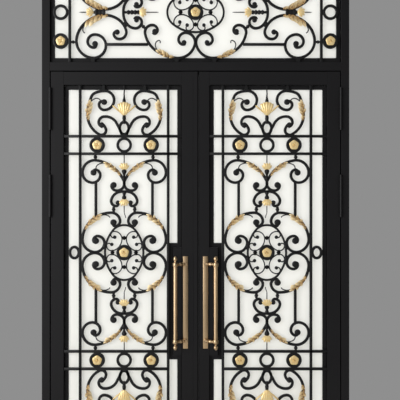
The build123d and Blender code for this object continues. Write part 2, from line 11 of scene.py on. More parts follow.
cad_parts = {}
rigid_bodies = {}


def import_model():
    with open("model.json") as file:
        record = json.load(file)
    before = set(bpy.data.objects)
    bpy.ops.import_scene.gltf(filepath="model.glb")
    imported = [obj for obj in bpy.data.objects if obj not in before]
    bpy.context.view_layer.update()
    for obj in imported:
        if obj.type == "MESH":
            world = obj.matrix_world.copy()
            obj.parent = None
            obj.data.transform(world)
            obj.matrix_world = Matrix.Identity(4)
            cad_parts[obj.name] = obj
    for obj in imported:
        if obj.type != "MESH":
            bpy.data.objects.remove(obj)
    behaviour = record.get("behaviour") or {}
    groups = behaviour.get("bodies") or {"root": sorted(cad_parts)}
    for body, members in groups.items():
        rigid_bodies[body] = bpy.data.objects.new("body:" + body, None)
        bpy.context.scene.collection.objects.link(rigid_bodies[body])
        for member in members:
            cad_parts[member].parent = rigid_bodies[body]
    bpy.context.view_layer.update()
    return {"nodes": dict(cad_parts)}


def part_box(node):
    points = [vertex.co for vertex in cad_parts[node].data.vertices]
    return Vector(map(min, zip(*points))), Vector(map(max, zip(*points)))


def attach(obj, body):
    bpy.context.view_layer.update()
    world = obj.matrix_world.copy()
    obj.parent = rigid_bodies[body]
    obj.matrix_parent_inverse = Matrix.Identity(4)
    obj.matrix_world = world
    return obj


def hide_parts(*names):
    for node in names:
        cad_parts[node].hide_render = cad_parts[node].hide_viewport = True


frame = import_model()

bl_info = {
    "name": "Wrought-iron entrance door",
    "version": (1, 0, 0),
    "blender": (4, 5, 0),
    "location": "3D View > Sidebar > Door",
    "description": "Forges the scrollwork, gilding, handles and finishes of a double entrance door",
    "category": "Object",
}

MM = 0.001

# How far two bars bite into each other at a weld, and how far a straight bar's edges are rounded.
BITE = 1
BAR_EDGE = 2

# ---- forgings ----

# A scroll is (start, heading, arcs): where its bar starts, which way it points, in degrees from
# +x towards +z, and then arcs of (radius, turn). A right turn is negative. Millimetres, about
# the middle of a pattern. Crest scrolls are drawn from the ring band at the top of a leaf.
GREAT_SCROLL = (
    (-127, 224),
    142,
    (
        (22, 126), (35, 98), (66, 71), (60, 103), (160, 22), (50, 44), (290, 24), (146, 61),
        (30, 135), (64, 34),
    ),
)
SHOULDER_SCROLL = ((-140, 61), 168, ((31, -86), (38, -75), (82, -66), (410, -14)))
FIELD_SCROLL = (
    (-198, 519),
    114,
    (
        (15, -131), (36, -75), (50, -92), (66, -85), (80, -98), (220, -41), (241, -17), (47, -127),
        (33, -70), (16, -60),
    ),
)
HEART_SCROLL = ((10, 394), 161, ((72, 94), (33, 102), (14, 90)))
OVAL_SIDE_SCROLL = (
    (-69, 194),
    234,
    (
        (14, 134), (34, 91), (58, 81), (188, 45), (182, 39), (84, 85), (63, 91), (45, 97),
        (28, 77), (22, 60),
    ),
)
# Rolled ends: (x, z, radius).
CREST_SNUBS = ((-129, 223, 19), (-145, 73, 18))
FIELD_SNUBS = ((-198, 521, 20), (-68, 440, 20), (-41, 325, 15), (-69, 196, 21), (-183, 76, 21))
# Collars between two bars: (x, z, across, along, lean).
FIELD_BEADS = ((-186, 622, 24, 34, 0), (-68, 281, 24, 34, 0), (-124, 40, 26, 44, 0))
# A foot is (x, z, half its width) and a stay is (x, base, top).
CREST_FOOT = (-133, 292, 18)
FIELD_STAY = (-182.5, 232, 456)
# The small oval over the band, as (height over it, half width, half height), and the one beside
# the far upright, as (half width, half height).
OVAL_RING = (53, 29, 40)
SIDE_OVAL = (29, 36)

# Half of the short and half of the long size of the oval round a medallion.
MEDALLION_OVAL = (124, 179)
FINE_SCROLL = (
    (-64, 97),
    194,
    ((18, -109), (24, -89), (50, -89), (81, -68), (34, -106), (16, -106), (23, -39)),
)
FINE_SNUBS = ((-61, 100, 11.5), (-80, 53, 11.5))
FINE_BEADS = ((0, 95, 30, 27, 0), (-76, 0, 26, 34, 0))

TRANSOM_OVAL = (130, 184)
TWIN_SCROLL = (
    (-648, -212),
    -82,
    (
        (16, -96), (39, -99), (47, -82), (72, -92), (81, -90), (112, -100), (166, -34),
        (208, -36), (152, -40), (135, -42), (45, -125), (34, -56), (19, -88),
    ),
)
CLASP_SCROLL = ((-397, -45), 84, ((12, -70), (30, -108), (42, -93), (72, -42), (111, -47)))
FOOT_SCROLL = (
    (-277, -133),
    -62,
    (
        (12, 90), (25, 79), (35, 69), (47, 104), (172, 42), (257, 35), (113, 81), (63, 95),
        (47, 90), (32, 91), (14, 60),
    ),
)
TRANSOM_SNUBS = (
    (-655, -206, 19), (-511, -129, 17), (-385, -51, 16), (-266, -125, 17), (-75, -197, 16),
)
TRANSOM_BEADS = ((-798, -194, 32, 22, 0), (-458, -80, 22, 34, 30), (-340, -94, 32, 24, -45))
TRANSOM_FEET = ((-669, -298, 25), (-123, -303, 25))
# The bar that ties two scrolls together: (left, right, height).
TRANSOM_TIE = (-585, -309, -210)

# Turned stems on a pattern's middle line: (station along it, radius). The crest's stem starts
# at the ring band.
CREST_STEM = (
    (80, 5), (87, 10), (91, 12.5), (98, 12.5), (102, 11), (110, 11), (114, 12.5), (121, 12.5),
    (125, 11), (133, 11.5), (138, 8), (146, 4.5), (214, 4.5), (218, 8), (224, 11), (232, 11.5),
    (244, 8), (258, 5.5), (272, 4.5),
)
FIELD_STEM = (
    (458, 6), (468, 9), (476, 13), (484, 15), (491, 13), (496, 8), (504, 7), (511, 9), (519, 13),
    (528, 16), (536, 15), (544, 9), (552, 4), (583, 3.5), (601, 3.5), (637, 3.5),
)
HEART_STEM = (
    (256, 1), (264, 3), (300, 3.5), (340, 5), (346, 10), (352, 14), (360, 15), (367, 12),
    (372, 8.5), (377, 9), (383, 12), (390, 13), (397, 11),
)
TRANSOM_COLLAR = (
    (588, 20), (590, 25), (597, 27), (604, 24), (611, 21), (618, 23), (625, 24), (632, 21),
    (639, 23), (646, 27), (652, 24), (656, 13), (662, 9), (670, 6), (682, 4), (744, 3.5), (760, 1),
)
TRANSOM_SPINDLE = (
    (240, 1), (250, 3), (320, 3.5), (360, 4), (366, 9), (371, 14), (377, 14), (382, 9.5),
    (387, 13), (393, 16), (399, 13), (404, 9.5), (409, 13), (415, 16), (421, 13), (426, 9.5),
    (431, 13), (437, 16), (443, 13), (448, 8), (458, 9), (468, 9),
)

# Distances along a scroll at which its gilt leaf ends and begins. The leaves grow backwards.
GREAT_LEAF = (440, 560)
FIELD_LEAF = (455, 592)
OVAL_SIDE_LEAF = (245, 385)
TWIN_LEAF = (722, 876)
FOOT_LEAF = (330, 445)


def millimetres(label, value, text):
    """A length that a user can change, in millimetres."""
    return bpy.props.FloatProperty(
        name=label, description=text, default=value, min=0.1, precision=1
    )


def metres(label, value, text):
    """A distance that a user can change, in metres."""
    return bpy.props.FloatProperty(name=label, description=text, default=value, unit="LENGTH")


def paint(label, code, text):
    """A colour that a user can change, given as an sRGB hex value."""
    return bpy.props.FloatVectorProperty(
        name=label, description=text, default=linear(code), size=4, subtype="COLOR", min=0, max=1
    )


def linear(code):
    """Turn an sRGB hex colour to the linear values that a shader takes."""
    channels = [int(code[i : i + 2], 16) / 255 for i in (1, 3, 5)]
    return (*[c / 12.92 if c <= 0.04045 else ((c + 0.055) / 1.055) ** 2.4 for c in channels], 1.0)


class IronworkSizes(bpy.types.PropertyGroup):
    bar_width: millimetres("Bar width", 18, "Face width of the square bar, in mm")
    bar_depth: millimetres("Bar depth", 16, "Depth of every bar, in mm")
    bar_round: millimetres("Bar rounding", 3.2, "How far the bars' worn edges are rounded, in mm")
    oval_width: millimetres("Medallion bar", 13.5, "Width of the bar round each medallion, in mm")
    fine_width: millimetres("Fine bar", 7.5, "Width of the small scrolls in each medallion, in mm")
    ring_radius: millimetres("Ring radius", 42, "Middle radius of the rings, in mm")
    ring_spacing: millimetres("Ring spacing", 176, "From a band's middle ring to the next")
    ring_rise: millimetres("Transom ring rise", 188, "From the transom's middle ring to the next")
    band_outer: millimetres("Band height", 758, "Pattern middle to the outer bar of a ring band")
    band_spacing: millimetres("Band spacing", 114, "Between the two bars of a ring band")
    lock_margin: millimetres("Lock margin", 88.5, "Lock stile to the middle of the near upright")
    hinge_margin: millimetres("Hinge margin", 106, "Hinge stile to the middle of the far upright")
    transom_margin: millimetres("Transom margin", 128, "Jamb to the middle of its upright")
    sash_width: millimetres("Sash width", 20, "Width of each sash's face round its glass")
    drawn_reach: millimetres("Drawn reach", 276, "Pattern middle to the widest scroll's outside")
    arc_step: bpy.props.FloatProperty(
        name="Arc step",
        description="Turn of one facet of a bent bar",
        default=radians(8),
        subtype="ANGLE",
    )


class GildingSizes(bpy.types.PropertyGroup):
    petal_thickness: millimetres("Petal thickness", 2.4, "Thickness of the cast petals, in mm")
    rosette_radius: millimetres("Rosette radius", 30.5, "From a rosette's middle to its petal tips")
    tendril_width: millimetres("Tendril width", 7, "Thickness of the thin tendrils, in mm")
    spine_width: millimetres("Spine width", 13, "Width of the sheath that a leaf grows from, in mm")


class DoorFinishes(bpy.types.PropertyGroup):
    frame_black: paint("Frame black", "#0F0E10", "Powder coat on the steel frame and leaves")
    iron_black: paint("Iron black", "#0F0F10", "Paint on the forged bars")
    gilt: paint("Gilt", "#EDD49C", "Gold paint on leaves, buds and rosettes")
    gilt_centre: paint("Gilt centre", "#EBC682", "Deeper gold at the middle of the rosettes")
    gilt_shadow: paint("Gilt shadow", "#876441", "Darker gold left in the hollows")
    leaf_root: paint("Leaf root", "#5E472B", "Dull gold on the bars where the leaves grow")
    leaf_body: paint("Leaf body", "#B8925A", "Gold on the leaves")
    # Pale gold on the ragged ends of the leaves, which also stands in as a painted highlight on the
    # raised tips.
    leaf_tip_gold_and_highlight: paint("Leaf tip", "#F7E2B2", "Pale gold brushed on the ragged ends of the leaves")
    bronze: paint("Champagne bronze", "#D3B690", "Brushed metal of the pull handles")
    glass: paint("Milk glass", "#F9F3E0", "Opal glass in the sashes")
    floor: paint("Floor", "#DAD8D3", "Studio floor")
    backdrop: paint("Backdrop", "#8F8F8F", "What is seen behind the door")


class StudioSettings(bpy.types.PropertyGroup):
    view_distance: metres("View distance", 6.2, "Camera to the face of the leaves")
    view_height: metres("View height", 1.736, "Height of the camera")
    view_side: metres("View offset", 0.029, "Camera's place to the right")
    view_width: metres("View width", 2.602, "Width seen at the leaves")
    key_power: bpy.props.FloatProperty(
        name="Key light", description="Power of the large front light", default=240, unit="POWER"
    )
    sky_strength: bpy.props.FloatProperty(
        name="Room light", description="Strength of the even light from all sides", default=0.74
    )


# ---- tools ----


def deselect():
    """Leave nothing selected."""
    bpy.ops.object.select_all(action="DESELECT")


def select(*pieces):
    """Select pieces, with the first one active."""
    deselect()
    for piece in pieces:
        piece.select_set(True)
    bpy.context.view_layer.objects.active = pieces[0]


def open_piece(name):
    """Start a new piece, ready to be drawn in edit mode."""
    deselect()
    bpy.ops.object.add(type="MESH", enter_editmode=True, location=(0, 0, 0))
    piece = bpy.context.object
    piece.name = piece.data.name = name
    return piece


def close_piece(crease=38):
    """Turn all faces outwards and shade the piece, with creases where faces meet more sharply."""
    bpy.ops.mesh.select_all(action="SELECT")
    bpy.ops.mesh.normals_make_consistent(inside=False)
    bpy.ops.object.mode_set(mode="OBJECT")
    bpy.ops.object.shade_smooth_by_angle(angle=radians(crease))


def apply_modifier(piece, kind, **settings):
    """Add a modifier with its settings and apply it."""
    select(piece)
    modifier = piece.modifiers.new(kind.title(), kind)
    for name, value in settings.items():
        setattr(modifier, name, value)
    bpy.ops.object.modifier_apply(modifier=modifier.name)


def copied(template, place=(0, 0, 0), turn=(0, 0, 0), scale=(1, 1, 1)):
    """Copy a template with a mesh of its own and fix the copy's place in that mesh."""
    select(template)
    bpy.ops.object.duplicate(linked=False)
    piece = bpy.context.object
    piece.matrix_world = Matrix.LocRotScale(Vector(place), Euler(turn), Vector(scale))
    bpy.ops.object.transform_apply(location=True, rotation=True, scale=True)
    return piece


def joined(pieces, name):
    """Join pieces into one."""
    select(*pieces)
    if len(pieces) > 1:
        bpy.ops.object.join()
    piece = bpy.context.object
    piece.name = piece.data.name = name
    return piece


def discard(*pieces):
    """Remove templates that are no longer needed."""
    for piece in pieces:
        mesh = piece.data
        bpy.data.objects.remove(piece)
        bpy.data.meshes.remove(mesh)


def mirrored(piece, across, up):
    """Mirror a piece across the pattern's middle lines."""
    apply_modifier(piece, "MIRROR", use_axis=(across, False, up), use_mirror_merge=False)
    return piece


def turn_normals_out(piece):
    """Point the faces of a mirrored piece outwards again."""
    select(piece)
    bpy.ops.object.mode_set(mode="EDIT")
    bpy.ops.mesh.select_all(action="SELECT")
    bpy.ops.mesh.normals_make_consistent(inside=False)
    bpy.ops.object.mode_set(mode="OBJECT")


def hang(piece, body, material, slot, *nodes):
    """Finish a piece: its paint, the body that carries it and the parts that it stands for."""
    piece.data.materials.clear()
    piece.data.materials.append(material)
    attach(piece, body)
    if nodes:
        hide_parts(*nodes)


def draw_bar(scroll, width, depth, rounding, step, rise=0, closed=False):
    """Bend one bar of the open piece by spinning its end round each arc in turn."""
    (x, z), heading, arcs = scroll
    z += rise
    heading = radians(heading)
    bpy.ops.mesh.primitive_plane_add(
        size=1, location=(x * MM, 0, z * MM), rotation=(0, pi / 2 - heading, 0)
    )
    across = Vector((sin(heading), 0, -cos(heading)))
    shape_section(Vector((x * MM, 0, z * MM)), across, width * MM, depth * MM)
    bpy.ops.mesh.bevel(offset=rounding * MM, segments=2, affect="VERTICES", clamp_overlap=True)
    if closed:
        bpy.ops.mesh.delete(type="ONLY_FACE")
        bpy.ops.mesh.select_non_manifold(
            extend=False,
            use_boundary=False,
            use_multi_face=False,
            use_non_contiguous=False,
            use_verts=False,
        )
    for radius, turn in arcs:
        turn = radians(turn)
        hand = copysign(1, turn)
        centre_x = x - hand * radius * sin(heading)
        centre_z = z + hand * radius * cos(heading)
        bpy.ops.mesh.spin(
            steps=max(1, round(abs(turn) / step)),
            angle=turn,
            center=(centre_x * MM, 0, centre_z * MM),
            axis=(0, 1, 0),
        )
        heading += turn
        x = centre_x + hand * radius * sin(heading)
        z = centre_z - hand * radius * cos(heading)
    if closed:
        bpy.ops.mesh.select_linked()
        bpy.ops.mesh.remove_doubles(threshold=0.2 * MM)


def shape_section(place, across, width, depth):
    """Size the square that was just added into the section of a bar."""
    mesh = bpy.context.object.data
    section = bmesh.from_edit_mesh(mesh)
    for vertex in section.verts:
        if vertex.select:
            offset = vertex.co - place
            sideways = across * offset.dot(across) * width
            vertex.co = place + sideways + Vector((0, offset.y * depth, 0))
    bmesh.update_edit_mesh(mesh)


def draw_block(low, high, rounding):
    """Add a square bar or block to the open piece, with its edges rounded."""
    middle = [(a + b) / 2 * MM for a, b in zip(low, high)]
    size = [abs(b - a) * MM for a, b in zip(low, high)]
    bpy.ops.mesh.primitive_cube_add(size=1, location=middle, scale=size)
    bpy.ops.mesh.bevel(offset=rounding * MM, segments=2, affect="EDGES", clamp_overlap=True)


def draw_turned(profile, steps, flat=1.0):
    """Turn (station, radius) pairs about the upright middle line, as on a lathe."""
    start = Vector((profile[0][1] * MM, 0, profile[0][0] * MM))
    bpy.ops.mesh.primitive_plane_add(size=MM, location=start)
    bpy.ops.mesh.merge(type="CENTER")
    last = start
    points = [Vector((radius * MM, 0, station * MM)) for station, radius in profile[1:]]
    for point in [*points, Vector((0, 0, points[-1].z))]:
        bpy.ops.mesh.extrude_region_move(TRANSFORM_OT_translate={"value": point - last})
        last = point
    bpy.ops.mesh.select_linked()
    bpy.ops.mesh.spin(steps=steps, angle=2 * pi, center=(0, 0, 0), axis=(0, 0, 1))
    bpy.ops.mesh.select_linked()
    bpy.ops.mesh.remove_doubles(threshold=0.02 * MM)
    bpy.ops.mesh.fill_holes(sides=0)
    bpy.ops.mesh.select_linked()
    if flat != 1.0:
        bpy.ops.transform.resize(value=(1, flat, 1), center_override=(0, 0, 0))


# How pointed an oval's ends are: at 0 they would be as round as its short side allows.
OVAL_POINT = 0.72


def oval_bar(centre, half_width, half_height):
    """An oval of four arcs, with its middle line at the given half sizes."""
    small, large = sorted((half_width, half_height))
    end = small * (small / large) ** OVAL_POINT
    side = (small**2 + (large - end) ** 2 - end**2) / (2 * (small - end))
    lean = degrees(atan2(large - end, side - small))
    cap, flank = (end, 180 - 2 * lean), (side, 2 * lean)
    arcs = ((side, lean), cap, flank, cap, (side, lean))
    if half_width <= half_height:
        return (centre[0] + half_width, centre[1]), 90, arcs
    return (centre[0], centre[1] - half_height), 0, arcs


def ring_bar(centre, radius):
    """A full ring of bar."""
    return (centre[0] + radius, centre[1]), 90, ((radius, 360),)


def walk(scroll, distance):
    """Place and heading at a distance along a scroll."""
    (x, z), heading, arcs = scroll
    heading = radians(heading)
    for radius, turn in arcs:
        length = radius * abs(radians(turn))
        share = min(1, distance / length)
        hand = copysign(1, turn)
        x -= hand * radius * sin(heading)
        z += hand * radius * cos(heading)
        heading += radians(turn) * share
        x += hand * radius * sin(heading)
        z -= hand * radius * cos(heading)
        distance -= length
        if distance <= 0:
            break
    return x, z, heading


def stretch_of(scroll, begin, end):
    """The part of a scroll between two distances, as a scroll of its own."""
    x, z, heading = walk(scroll, begin)
    arcs = []
    travelled = 0
    for radius, turn in scroll[2]:
        length = radius * abs(radians(turn))
        inside = min(end, travelled + length) - max(begin, travelled)
        if inside > 0:
            arcs.append((radius, copysign(degrees(inside / radius), turn)))
        travelled += length
    return (x, z), degrees(heading), tuple(arcs)


# ---- materials ----


# The two colour sockets of a Mix node.
SOCKET_A = 6
SOCKET_B = 7


def node(tree, kind, inputs=(), **properties):
    """Add a shader node, set its properties, and set or link its sockets."""
    made = tree.nodes.new(kind)
    for name, value in properties.items():
        setattr(made, name, value)
    for socket, value in dict(inputs).items():
        if isinstance(value, bpy.types.NodeSocket):
            tree.links.new(value, made.inputs[socket])
        else:
            made.inputs[socket].default_value = value
    return made


def blank_material(name):
    """A material with no nodes yet, its node tree, and its object coordinates."""
    material = bpy.data.materials.new(name)
    material.use_nodes = True
    tree = material.node_tree
    tree.nodes.clear()
    return material, tree, node(tree, "ShaderNodeTexCoord").outputs["Object"]


def close_material(tree, **sockets):
    """Finish a material with its surface shader."""
    inputs = {name.replace("_", " "): value for name, value in sockets.items()}
    shader = node(tree, "ShaderNodeBsdfPrincipled", inputs)
    node(tree, "ShaderNodeOutputMaterial", {"Surface": shader.outputs[0]})


def shade(colour, gain):
    """A lighter or darker shade of a colour."""
    return (*[min(1, channel * gain) for channel in colour[:3]], 1)


def powder_coat(colour):
    """Powder-coated mild steel: satin, with the faint orange peel of a baked coat."""
    material, tree, place = blank_material("powder_coated_steel")
    # Orange peel has crests about 2 mm apart and is drawn at 4 mm, so that it shows.
    peel = node(tree, "ShaderNodeTexNoise", {"Vector": place, "Scale": 250.0, "Detail": 2.0})
    # The coat drifts in thickness over about 300 mm, which changes its gloss and depth.
    drift = node(tree, "ShaderNodeTexNoise", {"Vector": place, "Scale": 3.3, "Detail": 3.0})
    gloss = node(
        tree, "ShaderNodeMapRange", {"Value": drift.outputs[0], "To Min": 0.42, "To Max": 0.56}
    )
    tint = node(
        tree,
        "ShaderNodeMix",
        {"Factor": drift.outputs[0], SOCKET_A: shade(colour, 0.85), SOCKET_B: shade(colour, 1.15)},
        data_type="RGBA",
    )
    bump = node(
        tree, "ShaderNodeBump", {"Height": peel.outputs[0], "Strength": 0.1, "Distance": 0.0003}
    )
    close_material(
        tree,
        Base_Color=tint.outputs[2],
        Roughness=gloss.outputs[0],
        Specular_IOR_Level=0.25,
        Normal=bump.outputs[0],
    )
    return material


def painted_iron(colour):
    """Forged wrought iron under black enamel: hammer facets soften its highlights."""
    material, tree, place = blank_material("painted_wrought_iron")
    # Hammer marks are about 9 mm across.
    dents = node(
        tree,
        "ShaderNodeTexVoronoi",
        {"Vector": place, "Scale": 110.0, "Smoothness": 0.8},
        feature="SMOOTH_F1",
    )
    # Scale left under the paint has a grain of about 1.5 mm.
    grain = node(tree, "ShaderNodeTexNoise", {"Vector": place, "Scale": 650.0, "Detail": 3.0})
    gloss = node(
        tree, "ShaderNodeMapRange", {"Value": grain.outputs[0], "To Min": 0.36, "To Max": 0.54}
    )
    # Edges and hollows take the enamel unevenly over about 40 mm.
    cloud = node(tree, "ShaderNodeTexNoise", {"Vector": place, "Scale": 25.0, "Detail": 3.0})
    tint = node(
        tree,
        "ShaderNodeMix",
        {"Factor": cloud.outputs[0], SOCKET_A: shade(colour, 0.7), SOCKET_B: shade(colour, 1.35)},
        data_type="RGBA",
    )
    facets = node(
        tree, "ShaderNodeBump", {"Height": dents.outputs[0], "Strength": 0.2, "Distance": 0.002}
    )
    bump = node(
        tree,
        "ShaderNodeBump",
        {
            "Height": grain.outputs[0],
            "Strength": 0.15,
            "Distance": 0.0003,
            "Normal": facets.outputs[0],
        },
    )
    close_material(
        tree,
        Base_Color=tint.outputs[2],
        Roughness=gloss.outputs[0],
        Specular_IOR_Level=0.3,
        Normal=bump.outputs[0],
    )
    return material


def gold_paint(name, colour, hollow):
    """Cast metal brushed with gold paint: bright on the ridges and brown where it is thin."""
    material, tree, place = blank_material(name)
    # Brush work leaves patches about 12 mm across.
    patches = node(tree, "ShaderNodeTexNoise", {"Vector": place, "Scale": 85.0, "Detail": 4.0})
    worn = node(
        tree,
        "ShaderNodeMapRange",
        {"Value": patches.outputs[0], "From Min": 0.3, "From Max": 0.55},
    )
    tint = node(
        tree,
        "ShaderNodeMix",
        {"Factor": worn.outputs[0], SOCKET_A: hollow, SOCKET_B: colour},
        data_type="RGBA",
    )
    # The casting's sand grain is about 1 mm.
    grain = node(tree, "ShaderNodeTexNoise", {"Vector": place, "Scale": 900.0, "Detail": 2.0})
    bump = node(
        tree, "ShaderNodeBump", {"Height": grain.outputs[0], "Strength": 0.2, "Distance": 0.0004}
    )
    close_material(
        tree,
        Base_Color=tint.outputs[2],
        Metallic=0.45,
        Roughness=0.34,
        Normal=bump.outputs[0],
    )
    return material


def brushed_leaves(root, body, tip):
    """Forged leaves brushed with gold paint: dull at the roots and pale on the ragged ends, the
    pale ends partly a painted highlight.
    """
    material, tree, place = blank_material("gold_brushed_leaves")
    # Brush work leaves patches about 10 mm across.
    patches = node(tree, "ShaderNodeTexNoise", {"Vector": place, "Scale": 100.0, "Detail": 4.0})
    worn = node(
        tree, "ShaderNodeMapRange", {"Value": patches.outputs[0], "From Min": 0.38, "From Max": 0.6}
    )
    laid = node(
        tree,
        "ShaderNodeMix",
        {"Factor": worn.outputs[0], SOCKET_A: root, SOCKET_B: body},
        data_type="RGBA",
    )
    # Each lobe carries its own reach, from 0 at the root to 1 at the tip.
    reach = node(tree, "ShaderNodeAttribute", attribute_name="reach")
    # Each lobe pales towards its tip: pale gold paint together with a painted highlight on the
    # raised ends.
    tip_gold_and_highlight_ramp = node(tree, "ShaderNodeMapRange", {"Value": reach.outputs["Fac"], "From Min": 0.2})
    tint = node(
        tree,
        "ShaderNodeMix",
        {"Factor": tip_gold_and_highlight_ramp.outputs[0], SOCKET_A: laid.outputs[2], SOCKET_B: tip},
        data_type="RGBA",
    )
    # The forged surface has a grain of about 1 mm.
    grain = node(tree, "ShaderNodeTexNoise", {"Vector": place, "Scale": 900.0, "Detail": 2.0})
    bump = node(
        tree, "ShaderNodeBump", {"Height": grain.outputs[0], "Strength": 0.2, "Distance": 0.0004}
    )
    close_material(
        tree,
        Base_Color=tint.outputs[2],
        Metallic=0.3,
        Roughness=0.42,
        Normal=bump.outputs[0],
    )
    return material


def brushed_bronze(colour):
    """Champagne bronze, brushed along the length of the handle and lacquered."""
    material, tree, place = blank_material("brushed_champagne_bronze")
    # Brush lines are about 0.3 mm wide and are drawn at 1 mm, so that they show.
    along = node(tree, "ShaderNodeMapping", {"Vector": place, "Scale": (1000.0, 1000.0, 12.0)})
    lines = node(
        tree, "ShaderNodeTexNoise", {"Vector": along.outputs[0], "Scale": 1.0, "Detail": 2.0}
    )
    gloss = node(
        tree, "ShaderNodeMapRange", {"Value": lines.outputs[0], "To Min": 0.2, "To Max": 0.4}
    )
    tint = node(
        tree,
        "ShaderNodeMix",
        {"Factor": lines.outputs[0], SOCKET_A: shade(colour, 0.88), SOCKET_B: shade(colour, 1.08)},
        data_type="RGBA",
    )
    bump = node(
        tree, "ShaderNodeBump", {"Height": lines.outputs[0], "Strength": 0.08, "Distance": 0.0002}
    )
    close_material(
        tree,
        Base_Color=tint.outputs[2],
        Metallic=1.0,
        Roughness=gloss.outputs[0],
        Normal=bump.outputs[0],
    )
    return material


def milk_glass(colour):
    """Opal float glass: fire-polished, with a cloudy white body that light soaks into."""
    material, tree, place = blank_material("opal_glass")
    # The body's cloudiness changes over about 250 mm.
    cloud = node(tree, "ShaderNodeTexNoise", {"Vector": place, "Scale": 4.0, "Detail": 2.0})
    tint = node(
        tree,
        "ShaderNodeMix",
        {"Factor": cloud.outputs[0], SOCKET_A: shade(colour, 0.97), SOCKET_B: shade(colour, 1.02)},
        data_type="RGBA",
    )
    # Rolled glass is wavy over about 60 mm.
    roll = node(tree, "ShaderNodeTexNoise", {"Vector": place, "Scale": 16.0, "Detail": 1.0})
    bump = node(
        tree, "ShaderNodeBump", {"Height": roll.outputs[0], "Strength": 0.05, "Distance": 0.002}
    )
    close_material(
        tree,
        Base_Color=tint.outputs[2],
        Subsurface_Weight=1.0,
        Subsurface_Radius=(1.0, 1.0, 1.0),
        Subsurface_Scale=0.06,
        Roughness=0.16,
        IOR=1.52,
        Normal=bump.outputs[0],
    )
    return material


def seal_rubber(colour):
    """Extruded weather-seal rubber: flat black that swallows the light in the gaps."""
    material, tree, place = blank_material("weather_seal_rubber")
    # Extrusion bloom clouds the surface over about 30 mm.
    bloom = node(tree, "ShaderNodeTexNoise", {"Vector": place, "Scale": 33.0, "Detail": 2.0})
    gloss = node(
        tree, "ShaderNodeMapRange", {"Value": bloom.outputs[0], "To Min": 0.65, "To Max": 0.85}
    )
    close_material(tree, Base_Color=shade(colour, 0.7), Roughness=gloss.outputs[0])
    return material


def finish_of(kind):
    """The material of a finish, made on first use."""
    colours = bpy.context.scene.door_finishes
    recipes = {
        "powder_coated_steel": lambda: powder_coat(colours.frame_black),
        "painted_wrought_iron": lambda: painted_iron(colours.iron_black),
        "gold_painted_casting": lambda: gold_paint(
            "gold_painted_casting", colours.gilt, colours.gilt_centre
        ),
        "gold_brushed_leaves": lambda: brushed_leaves(
            colours.leaf_root, colours.leaf_body, colours.leaf_tip_gold_and_highlight
        ),
        "antiqued_gold_centre": lambda: gold_paint(
            "antiqued_gold_centre", colours.gilt_centre, colours.gilt_shadow
        ),
        "brushed_champagne_bronze": lambda: brushed_bronze(colours.bronze),
        "opal_glass": lambda: milk_glass(colours.glass),
        "weather_seal_rubber": lambda: seal_rubber(colours.iron_black),
    }
    return bpy.data.materials.get(kind) or recipes[kind]()


# ---- patterns ----

# Between the transom's sash and the jambs.
SASH_GAP = 4


def leaf_pattern(sizes):
    """Where the ironwork of the left leaf is, in metres, and how far it reaches, in millimetres."""
    low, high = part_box("left_grille")
    far = low.x / MM + sizes.hinge_margin
    near = high.x / MM - sizes.lock_margin
    middle = (far + near) / 2
    return SimpleNamespace(
        centre=Vector((middle * MM, (low.y + high.y) / 2, (low.z + high.z) / 2)),
        upright=(near - far) / 2,
        hinge_reach=middle - low.x / MM,
        lock_reach=high.x / MM - middle,
        half_height=(high.z - low.z) / 2 / MM,
        stretch=((near - far) / 2 - sizes.bar_width / 2 + BITE) / sizes.drawn_reach,
    )


def transom_pattern(sizes):
    """Where the transom's ironwork is, in metres, and how far it reaches, in millimetres."""
    low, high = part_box("transom_grille")
    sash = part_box("transom_sash")[1].x / MM
    return SimpleNamespace(
        centre=Vector((0, (low.y + high.y) / 2, (low.z + high.z) / 2)),
        upright=sash + SASH_GAP - sizes.transom_margin,
        half_height=(high.z - low.z) / 2 / MM,
    )


def hang_on_leaves(template, centre, name, finish, slot, *nodes):
    """Hang a copy on each leaf, the right one mirrored, and remove the template."""
    for hand, side in (("left", -1), ("right", 1)):
        place = (-side * centre.x, centre.y, centre.z)
        piece = copied(template, place, scale=(-side, 1, 1))
        turn_normals_out(piece)
        piece.name = piece.data.name = f"{hand}_{name}"
        hang(piece, f"{hand}_leaf", finish, slot, *[f"{hand}_{node}" for node in nodes])
    discard(template)


def hang_in_transom(template, centre, name, finish, slot, *nodes):
    """Move the template to the transom, where it stays."""
    piece = copied(template, centre)
    turn_normals_out(piece)
    piece.name = piece.data.name = name
    hang(piece, "frame", finish, slot, *nodes)
    discard(template)


def stretched(drawn, stretch):
    """Replace a drawn piece by a copy that is stretched across."""
    piece = copied(drawn, scale=(stretch, 1, 1))
    discard(drawn)
    return piece


def lathe_piece(name, profile, steps=16):
    """A template of one turned piece."""
    piece = open_piece(name)
    draw_turned(profile, steps)
    close_piece()
    return piece


def rolled_ends(template, snubs, rise=0):
    """Copies of the rolled end of a bar, at each (x, z, radius)."""
    made = []
    for x, z, radius in snubs:
        swell = radius / ROLLED_RADIUS
        place = (x * MM, 0, (z + rise) * MM)
        made.append(copied(template, place, (pi / 2, 0, 0), (swell, swell, 1)))
    return made


def collars(template, beads):
    """Copies of the collar between two bars, at each (x, z, across, along, lean)."""
    made = []
    for x, z, across, along, lean in beads:
        lying = across > along
        width, length = (along, across) if lying else (across, along)
        turn = radians((90 if lying else 0) - lean)
        swell = width / COLLAR_WIDTH
        scale = (swell, min(swell, 1), length / COLLAR_LENGTH)
        made.append(copied(template, (x * MM, 0, z * MM), (0, turn, 0), scale))
    return made


